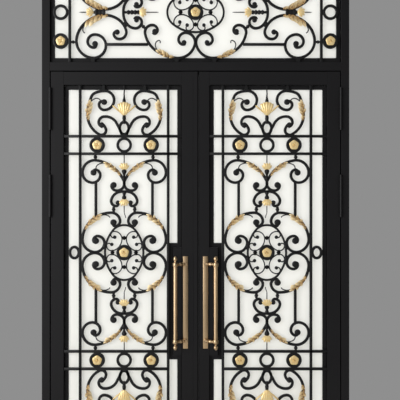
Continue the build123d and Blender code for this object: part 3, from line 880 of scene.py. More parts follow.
# The turned templates, as (station, radius), and the sizes that they were drawn for.
ROLLED_END = (
    (-9, 0.5), (-9, 5), (-8, 7.6), (-5.5, 9.4), (-3, 10), (3, 10), (5.5, 9.4), (8, 7.6), (9, 5),
    (8.4, 3.2), (8.8, 1.6), (9.2, 0.4),
)
COLLAR = (
    (-17.5, 6), (-16, 8.6), (-13, 9.4), (-10.5, 8.6), (-9, 8), (-7, 9.4), (-4, 11.6), (0, 12.4),
    (4, 11.6), (7, 9.4), (9, 8), (10.5, 8.6), (13, 9.4), (16, 8.6), (17.5, 6),
)
ROLLED_RADIUS = 10
COLLAR_WIDTH = 24
COLLAR_LENGTH = 34
# The fine bars are this much deeper than they are wide.
FINE_DEPTH = 1.4
# A foot: its depth, how its edges are rounded, and its steps towards the rail, each as (share of
# the way, how much it narrows).
FOOT_DEPTH = 15
FOOT_EDGE = 1.5
FOOT_STEPS = ((0.25, 0.6), (0.75, 0.8))


def draw_foot(x, scroll, rail, half_width):
    """Add a foot that widens from a rail towards the scroll that it holds."""
    bpy.ops.mesh.primitive_plane_add(size=1, location=(x * MM, 0, scroll * MM))
    bpy.ops.transform.resize(value=(2 * half_width * MM, FOOT_DEPTH * MM, 1))
    for share, narrowing in FOOT_STEPS:
        step = (rail - scroll) * share * MM
        bpy.ops.mesh.extrude_region_move(TRANSFORM_OT_translate={"value": (0, 0, step)})
        bpy.ops.transform.resize(value=(narrowing, 1, 1))
    bpy.ops.mesh.select_linked()
    bpy.ops.mesh.bevel(offset=FOOT_EDGE * MM, segments=1, affect="EDGES", clamp_overlap=True)


class ENTRANCE_OT_scrollwork(bpy.types.Operator):
    """Bend the scrolls, rings and ovals of the leaves and the transom"""

    bl_idname = "entrance_door.scrollwork"
    bl_label = "Scrollwork"

    def medallion(self, sizes, rolled_end, collar):
        """The fine scrolls, rolled ends and collars inside a medallion, as drawn."""
        filling = open_piece("medallion_filling")
        width = sizes.fine_width
        draw_bar(FINE_SCROLL, width, width * FINE_DEPTH, BAR_EDGE, sizes.arc_step)
        close_piece()
        parts = [filling, *rolled_ends(rolled_end, FINE_SNUBS), *collars(collar, FINE_BEADS)]
        return mirrored(joined(parts, "medallion_filling"), True, True)

    def bent(self, sizes, shapes, width, closed=False):
        """Draw bars of one width in the open piece, each given with its rise."""
        for shape, rise in shapes:
            draw_bar(shape, width, sizes.bar_depth, sizes.bar_round, sizes.arc_step, rise, closed)

    def leaf(self, sizes, filling, rolled_end, collar):
        """Forge a leaf's ironwork: a quarter, mirrored, and what crosses the middle lines."""
        pattern = leaf_pattern(sizes)
        half = sizes.bar_width / 2
        quarter = open_piece("leaf_quarter")
        crest = sizes.band_outer
        scrolls = ((GREAT_SCROLL, crest), (SHOULDER_SCROLL, crest))
        scrolls += ((FIELD_SCROLL, 0), (HEART_SCROLL, 0), (OVAL_SIDE_SCROLL, 0))
        self.bent(sizes, scrolls, sizes.bar_width)
        x, base, top = FIELD_STAY
        draw_block((x - half, -half, base), (x + half, half, top), BAR_EDGE)
        x, base, half_foot = CREST_FOOT
        draw_foot(x, base + crest, pattern.half_height, half_foot)
        close_piece()
        parts = [quarter, *rolled_ends(rolled_end, CREST_SNUBS, crest)]
        parts += rolled_ends(rolled_end, FIELD_SNUBS) + collars(collar, FIELD_BEADS)
        quarter = stretched(joined(parts, "leaf_quarter"), pattern.stretch)
        mirrored(quarter, True, True)

        straight = open_piece("leaf_bars")
        inner = crest - sizes.band_spacing
        top = pattern.half_height
        for x in (-pattern.upright, pattern.upright):
            draw_block((x - half, -half, -top), (x + half, half, top), BAR_EDGE)
        far = -pattern.hinge_reach
        for z, near in ((inner, pattern.lock_reach), (-inner, pattern.upright)):
            shift = copysign(sizes.band_spacing, z)
            for level in (z, z + shift):
                draw_block((far, -half, level - half), (near, half, level + half), BAR_EDGE)
        band = inner + sizes.band_spacing / 2
        spacing = sizes.ring_spacing
        places = [(x, z) for x in (-spacing, 0, spacing) for z in (-band, band)]
        rings = [(ring_bar(place, sizes.ring_radius), 0) for place in [(0, 0), *places]]
        rise, half_width, half_height = OVAL_RING
        for side in (-1, 1):
            small = oval_bar((0, 0), half_width * pattern.stretch, half_height)
            rings.append((small, side * (crest + rise)))
        side_x = -(pattern.upright + half + SIDE_OVAL[0])
        rings.append((oval_bar((side_x, 0), *SIDE_OVAL), 0))
        self.bent(sizes, rings, sizes.bar_width, True)
        large = oval_bar((0, 0), MEDALLION_OVAL[0] * pattern.stretch, MEDALLION_OVAL[1])
        self.bent(sizes, [(large, 0)], sizes.oval_width, True)
        close_piece()

        inside = copied(filling, scale=(pattern.stretch, 1, 1))
        whole = joined([straight, quarter, inside], "leaf_scrollwork")
        finish = finish_of("painted_wrought_iron")
        hang_on_leaves(whole, pattern.centre, "scrollwork", finish, "black_paint", "grille")

    def transom(self, sizes, filling, rolled_end, collar):
        """Forge the transom's ironwork, with the medallion's filling laid on its side."""
        pattern = transom_pattern(sizes)
        half = sizes.bar_width / 2
        quarter = open_piece("transom_quarter")
        scrolls = ((TWIN_SCROLL, 0), (CLASP_SCROLL, 0), (FOOT_SCROLL, 0))
        self.bent(sizes, scrolls, sizes.bar_width)
        left, right, level = TRANSOM_TIE
        draw_block((left, -half, level - half), (right, half, level + half), BAR_EDGE)
        for x, z, half_foot in TRANSOM_FEET:
            draw_foot(x, z, -pattern.half_height, half_foot)
        close_piece()
        parts = [quarter, *rolled_ends(rolled_end, TRANSOM_SNUBS), *collars(collar, TRANSOM_BEADS)]
        quarter = mirrored(joined(parts, "transom_quarter"), True, True)

        straight = open_piece("transom_bars")
        top = pattern.half_height
        rings = []
        for side in (-1, 1):
            x = side * pattern.upright
            draw_block((x - half, -half, -top), (x + half, half, top), BAR_EDGE)
            ring_x = side * (pattern.upright + half + sizes.ring_radius + half - BITE)
            for rise in (-sizes.ring_rise, 0, sizes.ring_rise):
                rings.append((ring_bar((ring_x, 0), sizes.ring_radius), rise))
        self.bent(sizes, [(ring_bar((0, 0), sizes.ring_radius), 0), *rings], sizes.bar_width, True)
        large = oval_bar((0, 0), TRANSOM_OVAL[1], TRANSOM_OVAL[0])
        self.bent(sizes, [(large, 0)], sizes.oval_width, True)
        close_piece()

        scale = (TRANSOM_OVAL[0] / MEDALLION_OVAL[0], 1, TRANSOM_OVAL[1] / MEDALLION_OVAL[1])
        inside = copied(filling, turn=(0, pi / 2, 0), scale=scale)
        whole = joined([straight, quarter, inside], "transom_scrollwork_template")
        finish = finish_of("painted_wrought_iron")
        hang_in_transom(
            whole, pattern.centre, "transom_scrollwork", finish, "black_paint", "transom_grille"
        )

    def execute(self, context):
        sizes = context.scene.ironwork_sizes
        rolled_end = lathe_piece("rolled_end", ROLLED_END)
        collar = lathe_piece("collar", COLLAR)
        filling = self.medallion(sizes, rolled_end, collar)
        self.leaf(sizes, filling, rolled_end, collar)
        self.transom(sizes, filling, rolled_end, collar)
        discard(filling, rolled_end, collar)
        return {"FINISHED"}


# The wires on a leaf's middle line: (scroll, thickness, rounding of the edges). The first one
# starts above the ring band.
CREST_WIRE = (((0, 258), 98, ((110, -16), (110, 16), (110, 6))), 8, 2)
HEART_WIRE = (((0, 262), -84, ((50, 20), (50, -24))), 5, 1.4)


class ENTRANCE_OT_turned_stems(bpy.types.Operator):
    """Turn the beaded stems that stand on the middle lines"""

    bl_idname = "entrance_door.turned_stems"
    bl_label = "Turned stems"

    def execute(self, context):
        sizes = context.scene.ironwork_sizes
        finish = finish_of("painted_wrought_iron")
        pattern = leaf_pattern(sizes)
        stems = open_piece("leaf_stems")
        draw_turned([(station + sizes.band_outer, radius) for station, radius in CREST_STEM], 16)
        draw_turned(FIELD_STEM, 16)
        draw_turned(HEART_STEM, 16)
        for (scroll, width, edge), rise in ((CREST_WIRE, sizes.band_outer), (HEART_WIRE, 0)):
            draw_bar(scroll, width, width, edge, sizes.arc_step, rise)
        close_piece()
        mirrored(stems, False, True)
        hang_on_leaves(stems, pattern.centre, "stems", finish, "black_paint")

        pattern = transom_pattern(sizes)
        stems = open_piece("transom_stems_template")
        draw_turned(TRANSOM_COLLAR, 18, 0.6)
        draw_turned(TRANSOM_SPINDLE, 16)
        close_piece()
        lying = copied(stems, turn=(0, pi / 2, 0))
        discard(stems)
        mirrored(lying, True, False)
        hang_in_transom(lying, pattern.centre, "transom_stems", finish, "black_paint")
        return {"FINISHED"}


# ---- gilding ----

# Rows of a petal, a lobe and a palmette's petal, from root to tip: (station, width, crown, lift
# towards the front).
PETAL_ROWS = (
    (0, 8, 1.5, 0), (7, 15, 3, 0.6), (16, 20, 4.2, 1.4), (26, 18, 4, 1.6), (34, 11, 3, 1.2),
    (40, 2.5, 1, 0.2),
)
LOBE_ROWS = (
    (0, 8, 1.5, 0), (8, 14, 3.2, 1.2), (19, 15, 3.2, 2.2), (31, 10, 2, 1.8), (38, 1.5, 0.6, 0.6),
)
SHELL_ROWS = (
    (0, 7, 1.5, 0), (7, 12, 3, 0.8), (16, 15, 4.2, 1.6), (28, 16, 4.4, 1.6), (36, 15, 3.4, 1),
    (40, 9, 1.5, 0.4),
)
# How much the lobes of a leaf swell from its root to its tip, and how far each leans away, in
# degrees.
LOBE_SWELL = (0.5, 0.75, 0.95, 0.95, 0.75, 0.5)
LOBE_LEAN = (34, 46, 40)
# One lobe grows on each stretch of this length, and every second one has a shorter one across the
# bar. The last lobe starts a little back from the tip and covers it.
LOBE_SPACING = 17
INNER_LOBE = 46
OUTER_LOBE = 27
TIP_LOBE = 36
TIP_LOBE_BACK = 20
INNER_WIDTH = 1.1
OUTER_WIDTH = 1.3
LOBE_FORWARD = 9
# How far the last lobe turns in from the bar, in radians, on a leaf with lobes on both sides and
# on a one-sided one.
TIP_TURN = 0.12
ONE_SIDED_TURN = 0.55
# The sheath round the bar: how much of its tip stays bare on a one-sided leaf, how far it stops
# short of the root, how far it stands forward, its depth, and how its edges are rounded.
BARE_TIP = 62
SHEATH_SHORT = 12
SHEATH_FORWARD = 5
SHEATH_DEPTH = 8
SHEATH_EDGE = 3

# Tendrils: (lean from the bar in degrees, arcs of (radius, turn)). They start under the leaf.
TENDRIL_ROOT = 8
DEFAULT_CURL = (18, ((95, 30), (30, 80), (10, 150)))
OVAL_SIDE_CURL = (10, ((130, 16), (60, 30), (14, 50)))
TWIN_CURL = (8, ((110, 30), (24, 80)))


# Under 1, a petal's ridge is rounded, and over 1 it is drawn in to a keel.
RIDGE_POWER = 0.8


def draw_petal(rows, columns):
    """Draw a ridged petal upwards in the open piece, row by row."""
    station, width, crown, _ = rows[0]
    last = Vector((-width / 2 * MM, 0, station * MM))
    bpy.ops.mesh.primitive_plane_add(size=MM, location=last)
    bpy.ops.mesh.merge(type="CENTER")
    for column in range(1, columns):
        across = 2 * column / (columns - 1) - 1
        ridge = (1 - abs(across)) ** RIDGE_POWER * crown
        point = Vector((across * width / 2 * MM, -ridge * MM, station * MM))
        bpy.ops.mesh.extrude_region_move(TRANSFORM_OT_translate={"value": point - last})
        last = point
    bpy.ops.mesh.select_linked()
    for before, after in zip(rows, rows[1:]):
        step = [a - b for a, b in zip(after, before)]
        move = Vector((0, -step[3] * MM, step[0] * MM))
        bpy.ops.mesh.extrude_region_move(TRANSFORM_OT_translate={"value": move})
        bpy.ops.transform.resize(
            value=(after[1] / before[1], after[2] / before[2], 1),
            center_override=(0, -after[3] * MM, after[0] * MM),
        )


def petal_piece(name, rows, columns, thickness, smooth):
    """A template of one cast petal, with its reach from 0 at the root to 1 at the tip."""
    piece = open_piece(name)
    draw_petal(rows, columns)
    bpy.ops.mesh.select_all(action="SELECT")
    bpy.ops.mesh.normals_make_consistent(inside=False)
    bpy.ops.object.mode_set(mode="OBJECT")
    apply_modifier(piece, "SOLIDIFY", thickness=thickness * MM, offset=0)
    if smooth:
        apply_modifier(piece, "SUBSURF", levels=1, render_levels=1)
    turn_normals_out(piece)
    bpy.ops.object.shade_smooth_by_angle(angle=radians(60))
    reach = piece.data.attributes.new("reach", "FLOAT", "POINT")
    for vertex, place in zip(piece.data.vertices, reach.data):
        place.value = max(0, vertex.co.z / (rows[-1][0] * MM))
    return piece


def aimed(template, x, z, heading, length, width=1.0, forward=0.0, rows=PETAL_ROWS):
    """A copy of a petal that grows from a point in a direction, at a given length."""
    scale = length / rows[-1][0]
    place = (x * MM, -forward * MM, z * MM)
    return copied(template, place, (0, pi / 2 - heading, 0), (scale * width, scale**0.5, scale))


# How far a petal drops back for each degree that it leans from the middle of a bud and of the
# palmette.
PETAL_FALL = 0.03
SHELL_FALL = 0.05


def fan(petal, base, direction, blades, forward):
    """Petals that fan out from a point: each is (angle from the middle, length, width)."""
    x, z = base
    made = []
    for angle, length, width in blades:
        heading = direction + radians(angle)
        ahead = forward - abs(angle) * PETAL_FALL
        made.append(aimed(petal, x, z, heading, length, width, ahead))
    return made


def grown_leaf(lobe, scroll, reach, sizes, step, rise=0, size=1.0, one_sided=False):
    """A leaf that grows back along a scroll: a sheath on its bar and ragged lobes."""
    tip, root = reach
    hand = copysign(1, scroll[2][0][1])
    parts = [open_piece("sheath")]
    bare = BARE_TIP if one_sided else 0
    sheathed = stretch_of(scroll, tip + bare, root - SHEATH_SHORT)
    draw_bar(sheathed, sizes.spine_width, SHEATH_DEPTH, SHEATH_EDGE, step, rise)
    bpy.ops.mesh.select_linked()
    bpy.ops.transform.translate(value=(0, -SHEATH_FORWARD * MM, 0))
    close_piece()
    count = round((root - tip) / LOBE_SPACING)
    for index in range(count):
        x, z, heading = walk(scroll, root - (root - tip) * (index + 0.2) / count)
        growth = heading + pi
        swell = size * LOBE_SWELL[index * len(LOBE_SWELL) // count]
        lean = radians(LOBE_LEAN[index % 3])
        inner = INNER_LOBE * swell * (0.8 if index % 3 == 1 else 1.1)
        aim = growth - hand * lean
        ahead = 6 + index % 2
        parts.append(aimed(lobe, x, z + rise, aim, inner, INNER_WIDTH, ahead, LOBE_ROWS))
        if index % 2 and not one_sided:
            outer = OUTER_LOBE * swell
            aim = growth + hand * lean * 0.8
            ahead = LOBE_FORWARD
            parts.append(aimed(lobe, x, z + rise, aim, outer, OUTER_WIDTH, ahead, LOBE_ROWS))
    x, z, heading = walk(scroll, tip + TIP_LOBE_BACK)
    aim = heading + pi - hand * (ONE_SIDED_TURN if one_sided else TIP_TURN)
    last = TIP_LOBE * size
    parts.append(aimed(lobe, x, z + rise, aim, last, INNER_WIDTH, LOBE_FORWARD, LOBE_ROWS))
    return parts


def draw_tendril(scroll, tip, sizes, step, rise=0, curl=DEFAULT_CURL):
    """Add the iron tendril that curls on from a leaf's tip."""
    hand = copysign(1, scroll[2][0][1])
    lean, arcs = curl
    x, z, heading = walk(scroll, tip + TENDRIL_ROOT)
    start = degrees(heading) + 180 - hand * lean
    arcs = [(radius, -hand * turn) for radius, turn in arcs]
    width = sizes.tendril_width
    draw_bar(((x, z), start, arcs), width, width, BAR_EDGE, step, rise)


class ENTRANCE_OT_gilt_foliage(bpy.types.Operator):
    """Grow the gilt leaves along the scrolls"""

    bl_idname = "entrance_door.gilt_foliage"
    bl_label = "Gilt foliage"

    def execute(self, context):
        ironwork = context.scene.ironwork_sizes
        sizes = context.scene.gilding_sizes
        step = ironwork.arc_step
        finish = finish_of("gold_brushed_leaves")
        iron = finish_of("painted_wrought_iron")
        lobe = petal_piece("lobe", LOBE_ROWS, 3, sizes.petal_thickness, False)

        pattern = leaf_pattern(ironwork)
        crest = ironwork.band_outer
        parts = grown_leaf(lobe, GREAT_SCROLL, GREAT_LEAF, sizes, step, crest, 1.15)
        parts += grown_leaf(lobe, FIELD_SCROLL, FIELD_LEAF, sizes, step, 0, 0.85)
        parts += grown_leaf(lobe, OVAL_SIDE_SCROLL, OVAL_SIDE_LEAF, sizes, step)
        foliage = stretched(joined(parts, "leaf_foliage"), pattern.stretch)
        mirrored(foliage, True, True)
        hang_on_leaves(foliage, pattern.centre, "gilt_foliage", finish, "gilt", "gilt_leaves")
        drawn = open_piece("leaf_tendrils")
        draw_tendril(GREAT_SCROLL, GREAT_LEAF[0], sizes, step, crest)
        draw_tendril(FIELD_SCROLL, FIELD_LEAF[0], sizes, step)
        draw_tendril(OVAL_SIDE_SCROLL, OVAL_SIDE_LEAF[0], sizes, step, 0, OVAL_SIDE_CURL)
        close_piece()
        tendrils = mirrored(stretched(drawn, pattern.stretch), True, True)
        hang_on_leaves(tendrils, pattern.centre, "tendrils", iron, "black_paint")

        pattern = transom_pattern(ironwork)
        parts = grown_leaf(lobe, TWIN_SCROLL, TWIN_LEAF, sizes, step, 0, 1.45, True)
        parts += grown_leaf(lobe, FOOT_SCROLL, FOOT_LEAF, sizes, step)
        foliage = mirrored(joined(parts, "transom_leaves"), True, True)
        hang_in_transom(
            foliage, pattern.centre, "transom_gilt_foliage", finish, "gilt", "transom_gilding"
        )
        drawn = open_piece("transom_tendrils_template")
        draw_tendril(TWIN_SCROLL, TWIN_LEAF[0], sizes, step, 0, TWIN_CURL)
        draw_tendril(FOOT_SCROLL, FOOT_LEAF[0], sizes, step)
        close_piece()
        mirrored(drawn, True, True)
        hang_in_transom(drawn, pattern.centre, "transom_tendrils", iron, "black_paint")
        discard(lobe)
        return {"FINISHED"}


# Petals of the palmette: (aside, above, angle from the middle, length, width).
PALMETTE = (
    (0, 0, 0, 88, 0.8), (6, 2, 9, 84, 0.8), (-6, 2, -9, 84, 0.8), (11, 5, 20, 76, 0.72),
    (-11, 5, -20, 76, 0.72), (13, 11, 49, 82, 0.36), (-13, 11, -49, 82, 0.36),
)
# Petals of a tulip bud: (angle from the middle, length, width).
TULIP = ((0, 46, 1.05), (24, 48, 1.0), (-24, 48, 1.0), (50, 43, 0.95), (-50, 43, 0.95))
# The turned cup that holds the petals: (station, radius).
CUP = ((-6, 4), (-4, 7), (0, 9.5), (5, 11), (10, 10), (13, 7), (15, 3))
# The palmette's cup stands this far over the ring band, its petals start below the cup's middle,
# and the middle petal stands forward of the stem.
PALMETTE_HEIGHT = 142
PALMETTE_DROP = 7
PALMETTE_FORWARD = 11
# Buds on the middle lines: distance from the middle of a leaf's or the transom's pattern.
RISING_BUD = 540
HANGING_BUD = 348
OUTER_BUD = 668
INNER_BUD = 364
BUD_FORWARD = 7


class ENTRANCE_OT_gilt_flowers(bpy.types.Operator):
    """Cast the palmettes and tulip buds on the stems"""

    bl_idname = "entrance_door.gilt_flowers"
    bl_label = "Gilt flowers"

    def bud(self, petal, cup, place, direction):
        """A tulip bud and its cup at (x, z), opening in a direction."""
        x, z = place
        petals = fan(petal, place, direction, TULIP, BUD_FORWARD)
        return [*petals, copied(cup, (x * MM, 0, z * MM), (0, pi / 2 - direction, 0))]

    def execute(self, context):
        ironwork = context.scene.ironwork_sizes
        sizes = context.scene.gilding_sizes
        finish = finish_of("gold_painted_casting")
        petal = petal_piece("petal", PETAL_ROWS, 5, sizes.petal_thickness, True)
        shell = petal_piece("shell", SHELL_ROWS, 5, sizes.petal_thickness, True)
        cup = lathe_piece("cup", CUP)

        pattern = leaf_pattern(ironwork)
        top = ironwork.band_outer + PALMETTE_HEIGHT
        parts = [copied(cup, (0, 0, top * MM))]
        for aside, above, angle, length, width in PALMETTE:
            heading = radians(90 - angle)
            base = top - PALMETTE_DROP + above
            forward = PALMETTE_FORWARD - abs(angle) * SHELL_FALL
            parts.append(aimed(shell, aside, base, heading, length, width, forward, SHELL_ROWS))
        parts += self.bud(petal, cup, (0, RISING_BUD), pi / 2)
        parts += self.bud(petal, cup, (0, HANGING_BUD), -pi / 2)
        flowers = mirrored(joined(parts, "leaf_flowers"), False, True)
        hang_on_leaves(flowers, pattern.centre, "gilt_flowers", finish, "gilt", "gilt_buds")

        pattern = transom_pattern(ironwork)
        parts = self.bud(petal, cup, (OUTER_BUD, 0), 0)
        parts += self.bud(petal, cup, (INNER_BUD, 0), pi)
        flowers = mirrored(joined(parts, "transom_buds"), True, False)
        hang_in_transom(flowers, pattern.centre, "transom_gilt_flowers", finish, "gilt")
        discard(petal, shell, cup)
        return {"FINISHED"}


# The boss in the middle of a rosette and the shallow pan behind it: (station, radius). The boss is
# scaled down, and the pan starts this far behind the bars' faces.
BOSS = ((0, 9), (2, 9.5), (4, 8), (6, 4.5), (7, 0.5))
BOSS_SCALE = (0.7, 0.7, 0.6)
BOSS_FORWARD = 5
PAN = ((0, 32), (1, 33.5), (4, 33.5), (4.5, 31.5), (3, 29))
PAN_BACK = 5
# The broad petals start this far from the middle. A star of shorter petals lies over them.
ROSETTE_PETALS = 5
PETAL_START = 1.5
PETAL_WIDTH = 2.9
STAR_SHARE = 0.5
STAR_FORWARD = 4


class ENTRANCE_OT_rosettes(bpy.types.Operator):
    """Cast the five-petalled rosettes and set them in their rings"""

    bl_idname = "entrance_door.rosettes"
    bl_label = "Rosettes"

    def rosette(self, sizes):
        """A template of one rosette, facing the front, with a deeper gold star on its flower."""
        petal = petal_piece("rosette_petal", PETAL_ROWS, 5, sizes.petal_thickness, True)
        length = sizes.rosette_radius
        parts = []
        for blade in range(ROSETTE_PETALS):
            heading = pi / 2 + blade * 2 * pi / ROSETTE_PETALS
            x, z = PETAL_START * cos(heading), PETAL_START * sin(heading)
            parts.append(aimed(petal, x, z, heading, length, PETAL_WIDTH, 1))
        flower = joined(parts, "rosette_flower")
        flower.data.materials.append(finish_of("gold_painted_casting"))
        parts = []
        for blade in range(ROSETTE_PETALS):
            heading = pi / 2 + (blade + 0.5) * 2 * pi / ROSETTE_PETALS
            parts.append(aimed(petal, 0, 0, heading, length * STAR_SHARE, 1.0, STAR_FORWARD))
        boss = lathe_piece("boss", BOSS)
        parts.append(copied(boss, (0, -BOSS_FORWARD * MM, 0), (pi / 2, 0, 0), BOSS_SCALE))
        star = joined(parts, "rosette_star")
        star.data.materials.append(finish_of("antiqued_gold_centre"))
        discard(petal, boss)
        return joined([flower, star], "rosette")

    def pans(self, pan, places, forward):
        """Copies of the shallow iron pan that closes a ring and carries its rosette."""
        y = PAN_BACK * MM - forward
        return [copied(pan, (x * MM, y, z * MM), (pi / 2, 0, 0)) for x, z in places]

    def set_in_leaves(self, parts, pattern):
        """Set a leaf's rosettes in the rings of both leaves."""
        whole = joined(parts, "leaf_rosettes")
        for hand, side in (("left", -1), ("right", 1)):
            place = (-side * pattern.centre.x, pattern.centre.y, pattern.centre.z)
            piece = copied(whole, place)
            piece.name = piece.data.name = f"{hand}_gilt_rosettes"
            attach(piece, f"{hand}_leaf")
            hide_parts(f"{hand}_rosettes")
        discard(whole)

    def execute(self, context):
        ironwork = context.scene.ironwork_sizes
        rosette = self.rosette(context.scene.gilding_sizes)
        forward = ironwork.bar_depth / 2 * MM
        pattern = leaf_pattern(ironwork)
        band = ironwork.band_outer - ironwork.band_spacing / 2
        spacing = ironwork.ring_spacing
        places = [(0, 0)] + [(x, z) for x in (-spacing, spacing) for z in (-band, band)]
        parts = [copied(rosette, (x * MM, -forward, z * MM)) for x, z in places]
        self.set_in_leaves(parts, pattern)
        iron = finish_of("painted_wrought_iron")
        pan = lathe_piece("pan", PAN, 28)
        pans = joined(self.pans(pan, places, forward), "leaf_pans")
        hang_on_leaves(pans, pattern.centre, "rosette_pans", iron, "black_paint")

        pattern = transom_pattern(ironwork)
        x = pattern.upright + ironwork.bar_width + ironwork.ring_radius - BITE
        rise = ironwork.ring_rise
        places = [(0, 0)] + [(side * x, z) for side in (-1, 1) for z in (-rise, rise)]
        centre = pattern.centre
        y = centre.y - forward
        parts = [copied(rosette, (x * MM, y, centre.z + z * MM)) for x, z in places]
        piece = joined(parts, "transom_rosettes")
        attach(piece, "frame")
        pans = joined(self.pans(pan, places, forward), "transom_pans")
        hang_in_transom(pans, centre, "transom_rosette_pans", iron, "black_paint")
        discard(rosette, pan)
        return {"FINISHED"}


# ---- handles ----

HALF_GRIP = (
    (0, 12.5), (222, 12.5), (223, 14), (227, 14), (228, 12.5), (233, 12.5), (235, 14.5),
    (239, 16.2), (245, 16.8), (255, 16.8), (259, 16), (262, 13.5), (264, 9.5), (266, 7.5),
    (272, 6.5), (275, 9), (278, 11.5), (283, 13), (289, 13), (295, 11.5), (299, 8.6), (302, 5),
    (303, 1.5),
)
ARM = (
    (8, 10), (22, 10), (25, 7.5), (28, 7.5), (31, 10), (35, 12), (41, 12.6), (46, 12), (50, 10),
    (53, 7.5), (56, 7.5), (59, 10), (80, 10),
)
ARM_BOSS = ((0, 13), (9, 13), (11.5, 12.4), (13, 10.5), (13, 8))
# In the solid, the grip's knobs reach this far from its middle line. The arms stand at two heights
# from the middle of the plate, in metres.
KNOB_RADIUS = 17
ARM_HEIGHTS = (-0.25, 0.25)
# The plate is trimmed on both sides, and its edges are eased.
PLATE_TRIM = 3
PLATE_EDGE = 1.2


class ENTRANCE_OT_pull_handles(bpy.types.Operator):
    """Turn the long pull handles and mount them on their plates"""

    bl_idname = "entrance_door.pull_handles"
    bl_label = "Pull handles"

    def execute(self, context):
        low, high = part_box("left_handle_plate")
        plate = Vector(((low.x + high.x) / 2, low.y, (low.z + high.z) / 2))
        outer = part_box("left_handle_grip")[0]
        knob = KNOB_RADIUS * MM
        reach = Vector((outer.x + knob - plate.x, outer.y + knob - plate.y, 0))
        bronze = finish_of("brushed_champagne_bronze")

        grip = open_piece("grip")
        lower_half = [(-station, radius) for station, radius in reversed(HALF_GRIP[1:])]
        draw_turned(lower_half + list(HALF_GRIP), 28)
        close_piece(30)
        parts = [copied(grip, reach)]
        arm = lathe_piece("arm", ARM, 20)
        boss = lathe_piece("arm_boss", ARM_BOSS, 24)
        for rise in ARM_HEIGHTS:
            tilt = reach.to_track_quat("Z", "Y").to_euler()
            parts.append(copied(arm, (0, 0, rise), tilt))
            parts.append(copied(boss, (0, 0, rise), (pi / 2, 0, 0)))
        discard(grip, arm, boss)
        handle = joined(parts, "handle")
        hang_on_leaves(handle, plate, "pull_handle", bronze, "champagne_brass", "handle_grip")

        backplate = open_piece("backplate_template")
        half = (high - low) / 2 / MM
        side = half.x - PLATE_TRIM
        draw_block((-side, 0, -half.z), (side, 2 * half.y, half.z), PLATE_EDGE)
        close_piece(30)
        hang_on_leaves(backplate, plate, "backplate", bronze, "champagne_brass", "handle_plate")
        return {"FINISHED"}


# ---- seals, and the finishes of the parts that keep their own shape ----


def draw_outline(corners, y):
    """Add a closed outline of edges through (x, z) corners in metres to the open piece."""
    points = [Vector((x, y, z)) for x, z in corners]
    bpy.ops.mesh.primitive_plane_add(size=MM, location=points[0])
    bpy.ops.mesh.merge(type="CENTER")
    for before, after in zip(points, [*points[1:], points[0]]):
        bpy.ops.mesh.extrude_region_move(TRANSFORM_OT_translate={"value": after - before})
    bpy.ops.mesh.select_linked()
    bpy.ops.mesh.remove_doubles(threshold=0.01 * MM)


def sash_corners(hand, reach, gap):
    """Corners of a sash seen from the front, moved out by a reach and stepped round a lock box."""
    low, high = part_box(f"{hand}_sash")
    left, right, base, top = low.x - reach, high.x + reach, low.z - reach, high.z + reach
    corners = [(left, top), (left, base), (right, base), (right, top)]
    if hand == "left":
        low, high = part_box("left_lock_box")
        step, under, over = low.x - gap + reach, low.z - gap + reach, high.z + gap - reach
        corners[3:3] = [(right, under), (step, under), (step, over), (right, over)]
    return corners


# A flap lies on a sash's back and reaches over the gap round it: how far it stays clear of the
# stile, how far it laps onto the sash, how far it stands off it, and its depth.
FLAP_CLEARANCE = 0.3
FLAP_LAP = 4
FLAP_STANDOFF = 0.2
FLAP_DEPTH = 4
# A bead covers the joint of a sash and its glass: how far it laps onto the sash's inner edge and
# onto the glass, how far its front stands before the glass, and its depth.
BEAD_SASH_LAP = 0.5
BEAD_GLASS_LAP = 5.5
BEAD_FRONT = 3
BEAD_DEPTH = 2.9
# The two lips between the leaves: half their depth, how their edges are rounded, and the share of
# the gap that each one fills.
LIP_HALF = 4
LIP_EDGE = 0.6
LEFT_LIP = 0.7
RIGHT_LIP = 0.27


